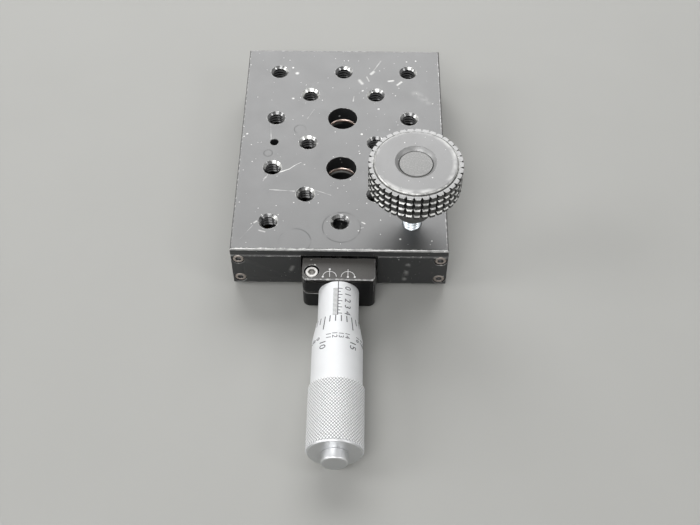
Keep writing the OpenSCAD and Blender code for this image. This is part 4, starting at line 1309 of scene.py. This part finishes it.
class STAGE_OT_screws(bpy.types.Operator):
    """Breaks the edges of the screws and gives them their metals"""

    bl_idname = "stage.screws"
    bl_label = "Screws"

    head_r = 0.00205
    socket_r = 0.00125
    fine_break = 0.00009

    def execute(self, context):
        fine, bronze = self.fine_break, "bronzed_steel"
        for end in ("front", "rear"):
            node = f"{end}_cover_screws"
            metals = [bronze, bronze, "socket_black"]
            softened(node, f"{end}_cover_screw_set", bronze, metals, fine, sort=self.socket_sorter(node))
        softened("clamp_screw", "clamp_screw_head", "screw_steel", ["screw_steel"], fine)
        softened("clamp_block_screws", "clamp_block_screw_pair", "screw_steel", ["screw_steel"], fine)
        return {"FINISHED"}

    def socket_sorter(self, node):
        """Tells the faces in the sockets of a set of cover screws from the others; the sockets are painted
        dark as shade.
        """
        low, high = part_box(node)
        spots = [
            (x, z)
            for x in (low.x + self.head_r, high.x - self.head_r)
            for z in (low.z + self.head_r, high.z - self.head_r)
        ]
        heads = low.y if low.y < 0.0 else high.y

        def sort(face, on_break):
            at = face.center
            off = min(math.hypot(at.x - x, at.z - z) for x, z in spots)
            return 2 if off < self.socket_r and abs(at.y - heads) > ON_EDGE else 0

        return sort


class STAGE_OT_sleeve(bpy.types.Operator):
    """Turns the sleeve and fills its scale"""

    bl_idname = "stage.sleeve"
    bl_label = "Graduated sleeve"

    wall = 0.0007
    fillet = 0.00015
    index_past = 0.0003
    digit_shift = 0.0005

    def execute(self, context):
        scale = settings("scale")
        bm = bmesh.new()
        inner = SLEEVE_R - self.wall
        outline = [
            (SLEEVE_R, SLEEVE_HIGH.y), (SLEEVE_R, SLEEVE_LOW.y),
            (inner, SLEEVE_LOW.y), (inner, SLEEVE_HIGH.y),
        ]
        lathe(bm, micrometer_point, rounded(outline, self.fillet, True), 128, True)
        add_piece("sleeve", bm, "base", "satin_chrome", ["satin_chrome"], ["graduated_sleeve"])
        self.add_scale(scale)
        return {"FINISHED"}

    def add_scale(self, scale):
        bm = bmesh.new()
        zero = SLEEVE_HIGH.y - scale.zero_gap
        index = scale.index_turn * SLEEVE_R

        def spot(u, v, height):
            return micrometer_point(SLEEVE_R + height, v / SLEEVE_R, zero - u)

        half = scale.line_w / 2
        wide = scale.index_w / 2
        full = scale.tenth * scale.tenths
        start, end = -scale.zero_gap + ON_EDGE, full + self.index_past
        slab(bm, spot, start, end, index - wide, index + wide, 2)
        for i in range(2 * scale.tenths + 1):
            u = i * scale.tenth / 2
            reach = scale.short_tick if i % 2 else scale.long_tick
            slab(bm, spot, u - half, u + half, index, index + reach, 5)
        self.add_fine_band(scale, spot, index)
        digit_v = scale.digit_turn * SLEEVE_R
        for i in range(scale.tenths + 1):
            at = i * scale.tenth - self.digit_shift
            number_slab(bm, lambda u, v, h, at=at: spot(at + u, digit_v + v, h), str(i % 10), scale.digit)
        add_piece("sleeve_marks", bm, "base", "satin_chrome", ["scale_ink"])

    def add_fine_band(self, scale, spot, index):
        """The close row of fine ticks on the other side of the index line."""
        bm = bmesh.new()
        half = scale.fine_w / 2
        for i in range(5 * scale.tenths + 1):
            u = i * scale.tenth / 5
            slab(bm, spot, u - half, u + half, index - scale.band, index - scale.index_w / 2, 6)
        add_piece("sleeve_fine_marks", bm, "base", "satin_chrome", ["fine_ink"])


class STAGE_OT_thimble(bpy.types.Operator):
    """Turns the thimble, cuts its diamond knurl and fills its divisions"""

    bl_idname = "stage.thimble"
    bl_label = "Thimble"

    end_chamfer = 0.0006
    fillet = 0.0001

    def execute(self, context):
        scale, knurl = settings("scale"), settings("knurl")
        bm = bmesh.new()
        root = GRIP_R - knurl.depth
        edge, end = THIMBLE_HIGH.y, THIMBLE_LOW.y
        barrel_end = edge - knurl.barrel_l
        grip_start = barrel_end - knurl.shoulder
        grip_end = end + knurl.rim
        cavity = end + knurl.end_t
        outline = [
            (root, grip_end), (GRIP_R - self.end_chamfer, end), (knurl.boss_r, end), (knurl.boss_r, cavity),
            (scale.bore_r, cavity), (scale.bore_r, edge), (scale.edge_r, edge),
            (scale.barrel_r, edge - scale.bevel_l), (scale.barrel_r, barrel_end), (root, grip_start),
        ]
        lathe(bm, micrometer_point, rounded(outline, self.fillet), 2 * knurl.starts)
        self.add_knurl(bm, root, grip_end, grip_start, knurl)
        bmesh.ops.remove_doubles(bm, verts=bm.verts, dist=1e-6)
        # The end rim and end face take the darker end chrome: painted shade.
        for face in bm.faces:
            if face.calc_center_median().y < grip_end and not face.material_index:
                face.material_index = 3
        finishes = ["satin_chrome", "knurl_chrome", "groove_chrome", "end_chrome"]
        add_piece("thimble_shell", bm, "thimble", "satin_chrome", finishes, ["thimble"], 40)
        self.add_divisions(scale)
        return {"FINISHED"}

    def add_knurl(self, bm, root, low, high, knurl):
        """Flat-topped pyramids on a lattice of crossing grooves; the tops take a lighter chrome as painted
        highlight and the flanks a darker one as painted shade.
        """
        columns = 2 * knurl.starts
        rows = 2 * round((high - low) / knurl.diamond)
        step = (high - low) / rows
        half = math.pi / knurl.starts

        def at(radius, i, j):
            return micrometer_point(radius, i * half, low + j * step)

        corner = {}
        for j in range(rows + 1):
            for i in range(columns):
                if (i + j) % 2 == 0 or j in (0, rows):
                    corner[i, j] = bm.verts.new(at(root, i, j))
        for j in range(rows + 1):
            for i in range(columns):
                if (i + j) % 2 == 0:
                    continue
                left, right = corner[(i - 1) % columns, j], corner[(i + 1) % columns, j]
                if j == 0:
                    bm.faces.new([left, corner[i, 0], corner[i, 1]])
                    bm.faces.new([corner[i, 0], right, corner[i, 1]])
                elif j == rows:
                    bm.faces.new([left, corner[i, rows - 1], corner[i, rows]])
                    bm.faces.new([corner[i, rows], corner[i, rows - 1], right])
                else:
                    base = [left, corner[i, j - 1], right, corner[i, j + 1]]
                    spread = ((-knurl.flat, 0), (0, -knurl.flat), (knurl.flat, 0), (0, knurl.flat))
                    top = [bm.verts.new(at(GRIP_R, i + du, j + dv)) for du, dv in spread]
                    for k in range(4):
                        flank = bm.faces.new([base[k], base[(k + 1) % 4], top[(k + 1) % 4], top[k]])
                        flank.material_index = 2
                    bm.faces.new(top).material_index = 1

    def add_divisions(self, scale):
        bm = bmesh.new()
        edge = THIMBLE_HIGH.y
        slope = (scale.barrel_r - scale.edge_r) / scale.bevel_l

        def spot(u, v, height):
            """u runs back from the edge, v is an angle."""
            radius = min(scale.edge_r + slope * u, scale.barrel_r)
            return micrometer_point(radius + height, v, edge - u)

        width = scale.division_w / scale.barrel_r / 2
        for i in range(scale.divisions):
            angle = scale.index_turn + (i - scale.at_index) * 2 * math.pi / scale.divisions
            fifth = i % 5 == 0
            reach = scale.thimble_long if fifth else scale.thimble_tick
            slab(bm, spot, ON_EDGE, reach, angle - width, angle + width)
            tall = scale.large_digit if fifth else scale.small_digit
            back = scale.large_back if fifth else scale.small_back
            number_slab(
                bm, lambda u, v, h, a=angle, b=back: spot(b + u, a + v / scale.barrel_r, h), str(i), tall
            )
        add_piece("thimble_marks", bm, "thimble", "satin_chrome", ["scale_ink"])


class STAGE_OT_cap(bpy.types.Operator):
    """Turns the end cap of the thimble"""

    bl_idname = "stage.cap"
    bl_label = "Thimble cap"

    shank_r = 0.00175
    chamfer = 0.0003
    fillet = 0.00018

    def execute(self, context):
        bm = bmesh.new()
        head_r, seat = CAP_HIGH.x, THIMBLE_LOW.y
        outline = [
            (0.0, CAP_HIGH.y), (self.shank_r, CAP_HIGH.y), (self.shank_r, seat), (head_r, seat),
            (head_r, CAP_LOW.y + self.chamfer), (head_r - self.chamfer, CAP_LOW.y), (0.0, CAP_LOW.y),
        ]
        lathe(bm, micrometer_point, rounded(outline, self.fillet), 96)
        finishes = ["cap_chrome", "end_chrome"]
        add_piece("cap", bm, "thimble", "satin_chrome", finishes, ["thimble_cap"], sort=self.sort)
        return {"FINISHED"}

    def sort(self, face):
        """The outer end is a darker, slightly rougher chrome than the rest: painted shade."""
        return int(face.normal.y < -0.9)


class STAGE_OT_knob(bpy.types.Operator):
    """Turns the knob's core and cuts the four rows of teeth"""

    bl_idname = "stage.knob"
    bl_label = "Toothed knob"

    groove = 0.0004
    ledge = 0.0001
    fillet = 0.00012
    under_disc = 0.00022
    recess_lip = 0.00015
    plug_sunk = 0.0002
    tooth_foot = 0.0003
    tooth_edge = 0.00008

    def execute(self, context):
        knob = settings("knob")
        top, hub_low = KNOB_HIGH.z, KNOB_LOW.z
        rim_top = top - knob.step
        rim_low = rim_top - knob.rim_h
        root = KNOB_R - knob.tooth_depth
        plug_r = PLUG_R + knob.plug_gap
        inner = knob.disc_r - self.groove
        outline = [
            (STUD_R, hub_low), (knob.hub_r, hub_low), (knob.hub_r, rim_low), (root, rim_low),
            (root, rim_top - self.ledge), (inner, rim_top - self.groove),
            (inner, rim_top + self.ledge), (knob.disc_r, rim_top + self.under_disc),
            (knob.disc_r, top - knob.chamfer), (knob.disc_r - knob.chamfer, top),
            (knob.recess_r, top), (plug_r + self.recess_lip, PLUG_HIGH.z),
            (plug_r, PLUG_HIGH.z - self.plug_sunk), (plug_r, PLUG_LOW.z), (STUD_R, PLUG_LOW.z),
        ]
        bm = bmesh.new()
        lathe(bm, knob_point, rounded(outline, self.fillet, True), 4 * knob.teeth, True)
        for row in range(knob.rows):
            for tooth in range(knob.teeth):
                self.add_tooth(bm, knob, root, (rim_low, rim_top), row, tooth)
        finishes = ["knob_black", "knob_worn", "knob_top", "tooth_black", "knob_ledge", "knob_recess"]
        add_piece("knob", bm, "thumbscrew", "knob_black", finishes, ["thumbscrew_knob"], 25, self.sort)
        return {"FINISHED"}

    def sort(self, face):
        """The ledge above the teeth is a lighter black as painted highlight and the recess cone a lighter
        black as painted sheen; the outer up-facing slopes get bare patches, partly wear and partly painted
        highlight; the rest is black.
        """
        knob = settings("knob")
        rim_top = KNOB_HIGH.z - knob.step
        centre = face.calc_center_median()
        away = apart(centre, KNOB_AXIS)
        if face.normal.z > 0.97:
            return 2 if centre.z > rim_top + self.ledge else 4
        if face.normal.z > 0.3:
            return 1 if away > knob.disc_r * 0.8 else 5
        return 3 if away > knob.disc_r + 0.0002 else 0

    def add_tooth(self, bm, knob, root, rim, row, tooth):
        """One tooth: a block whose four flanks slope in to a smaller face, kept between the rim's ends."""
        tip_high = rim[1] - self.ledge - row * knob.row_h
        tip_low = tip_high - knob.tip_h
        groove = (knob.row_h - knob.tip_h) / 2
        centre = knob.tooth_turn + 2 * math.pi * (tooth + 0.5) / knob.teeth
        half_turn = math.pi / knob.teeth
        tip_turn = half_turn * knob.tip_share
        side_turn = tip_turn + (half_turn - tip_turn) * knob.row_depth / knob.tooth_depth
        stages = (
            (root - self.tooth_foot, half_turn * 0.97, groove * 0.99),
            (root, half_turn * 0.97, groove * 0.99),
            (KNOB_R - knob.row_depth, side_turn, groove * 0.99),
            (KNOB_R - self.tooth_edge, tip_turn + half_turn * 0.03, groove * 0.1),
            (KNOB_R, tip_turn - half_turn * 0.03, -groove * 0.05),
        )
        loops = []
        for radius, turn_half, grown in stages:
            low = max(tip_low - grown, rim[0])
            high = min(tip_high + grown, rim[1])
            corners = ((-1, low), (1, low), (1, high), (-1, high))
            loops.append([knob_point(radius, centre + a * turn_half, z) for a, z in corners])
        loft(bm, loops)


class STAGE_OT_thumbscrew(bpy.types.Operator):
    """Turns the plug and the threaded stud of the thumbscrew"""

    bl_idname = "stage.thumbscrew"
    bl_label = "Thumbscrew stud and plug"

    plug_fillet = 0.00025
    thread_depth = 0.00058
    point_chamfer = 0.0004

    def execute(self, context):
        self.add_plug()
        self.add_stud()
        return {"FINISHED"}

    def add_plug(self):
        bm = bmesh.new()
        low, high = PLUG_LOW.z, PLUG_HIGH.z
        outline = [(0.0, low), (PLUG_R, low), (PLUG_R, high), (0.0, high)]
        lathe(bm, knob_point, rounded(outline, self.plug_fillet), 96)
        add_piece("plug", bm, "thumbscrew_lift", "knob_black", ["plug_black"], ["knob_plug"])

    def add_stud(self):
        thread = settings("thread")
        bm = bmesh.new()
        core, cut = STUD_R - self.thread_depth, self.point_chamfer
        low, high = STUD_LOW.z, STUD_HIGH.z
        outline = [(0.0, low), (core - cut, low), (core, low + cut), (core, high), (0.0, high)]
        lathe(bm, knob_point, outline, 64)
        start = low + thread.pitch * 0.6
        helical_ridge(bm, KNOB_AXIS, core, STUD_R, thread.pitch, start, high - thread.pitch * 0.6, 40)
        add_piece("stud", bm, "thumbscrew", "zinc_steel", ["zinc_plate"], ["thumbscrew_stud"])


PIECES = (
    STAGE_OT_studio, STAGE_OT_works, STAGE_OT_springs, STAGE_OT_deck, STAGE_OT_threads, STAGE_OT_block,
    STAGE_OT_screws, STAGE_OT_sleeve, STAGE_OT_thimble, STAGE_OT_cap, STAGE_OT_knob, STAGE_OT_thumbscrew,
)


class STAGE_PT_panel(bpy.types.Panel):
    """Sizes and colours of the stage, and a button for each piece"""

    bl_label = "Translation Stage"
    bl_idname = "STAGE_PT_panel"
    bl_space_type = "VIEW_3D"
    bl_region_type = "UI"
    bl_category = "Stage"

    def draw(self, context):
        for group in SETTINGS:
            box = self.layout.box()
            box.label(text=group.capitalize())
            values = settings(group)
            for name in values.bl_rna.properties.keys():
                if name not in ("rna_type", "name"):
                    box.prop(values, name)
        for piece in PIECES:
            self.layout.operator(piece.bl_idname)


def register():
    for group in SETTINGS.values():
        bpy.utils.register_class(group)
    for name, group in SETTINGS.items():
        setattr(bpy.types.Scene, "stage_" + name, bpy.props.PointerProperty(type=group))
    for made in (*PIECES, STAGE_PT_panel):
        bpy.utils.register_class(made)


def unregister():
    for made in (STAGE_PT_panel, *reversed(PIECES)):
        bpy.utils.unregister_class(made)
    for name, group in SETTINGS.items():
        delattr(bpy.types.Scene, "stage_" + name)
        bpy.utils.unregister_class(group)


def main():
    """Builds everything in order."""
    register()
    for build in EFFECTS:
        build()
    for piece in PIECES:
        getattr(bpy.ops.stage, piece.bl_idname.split(".")[1])()


if __name__ == "__main__":
    main()
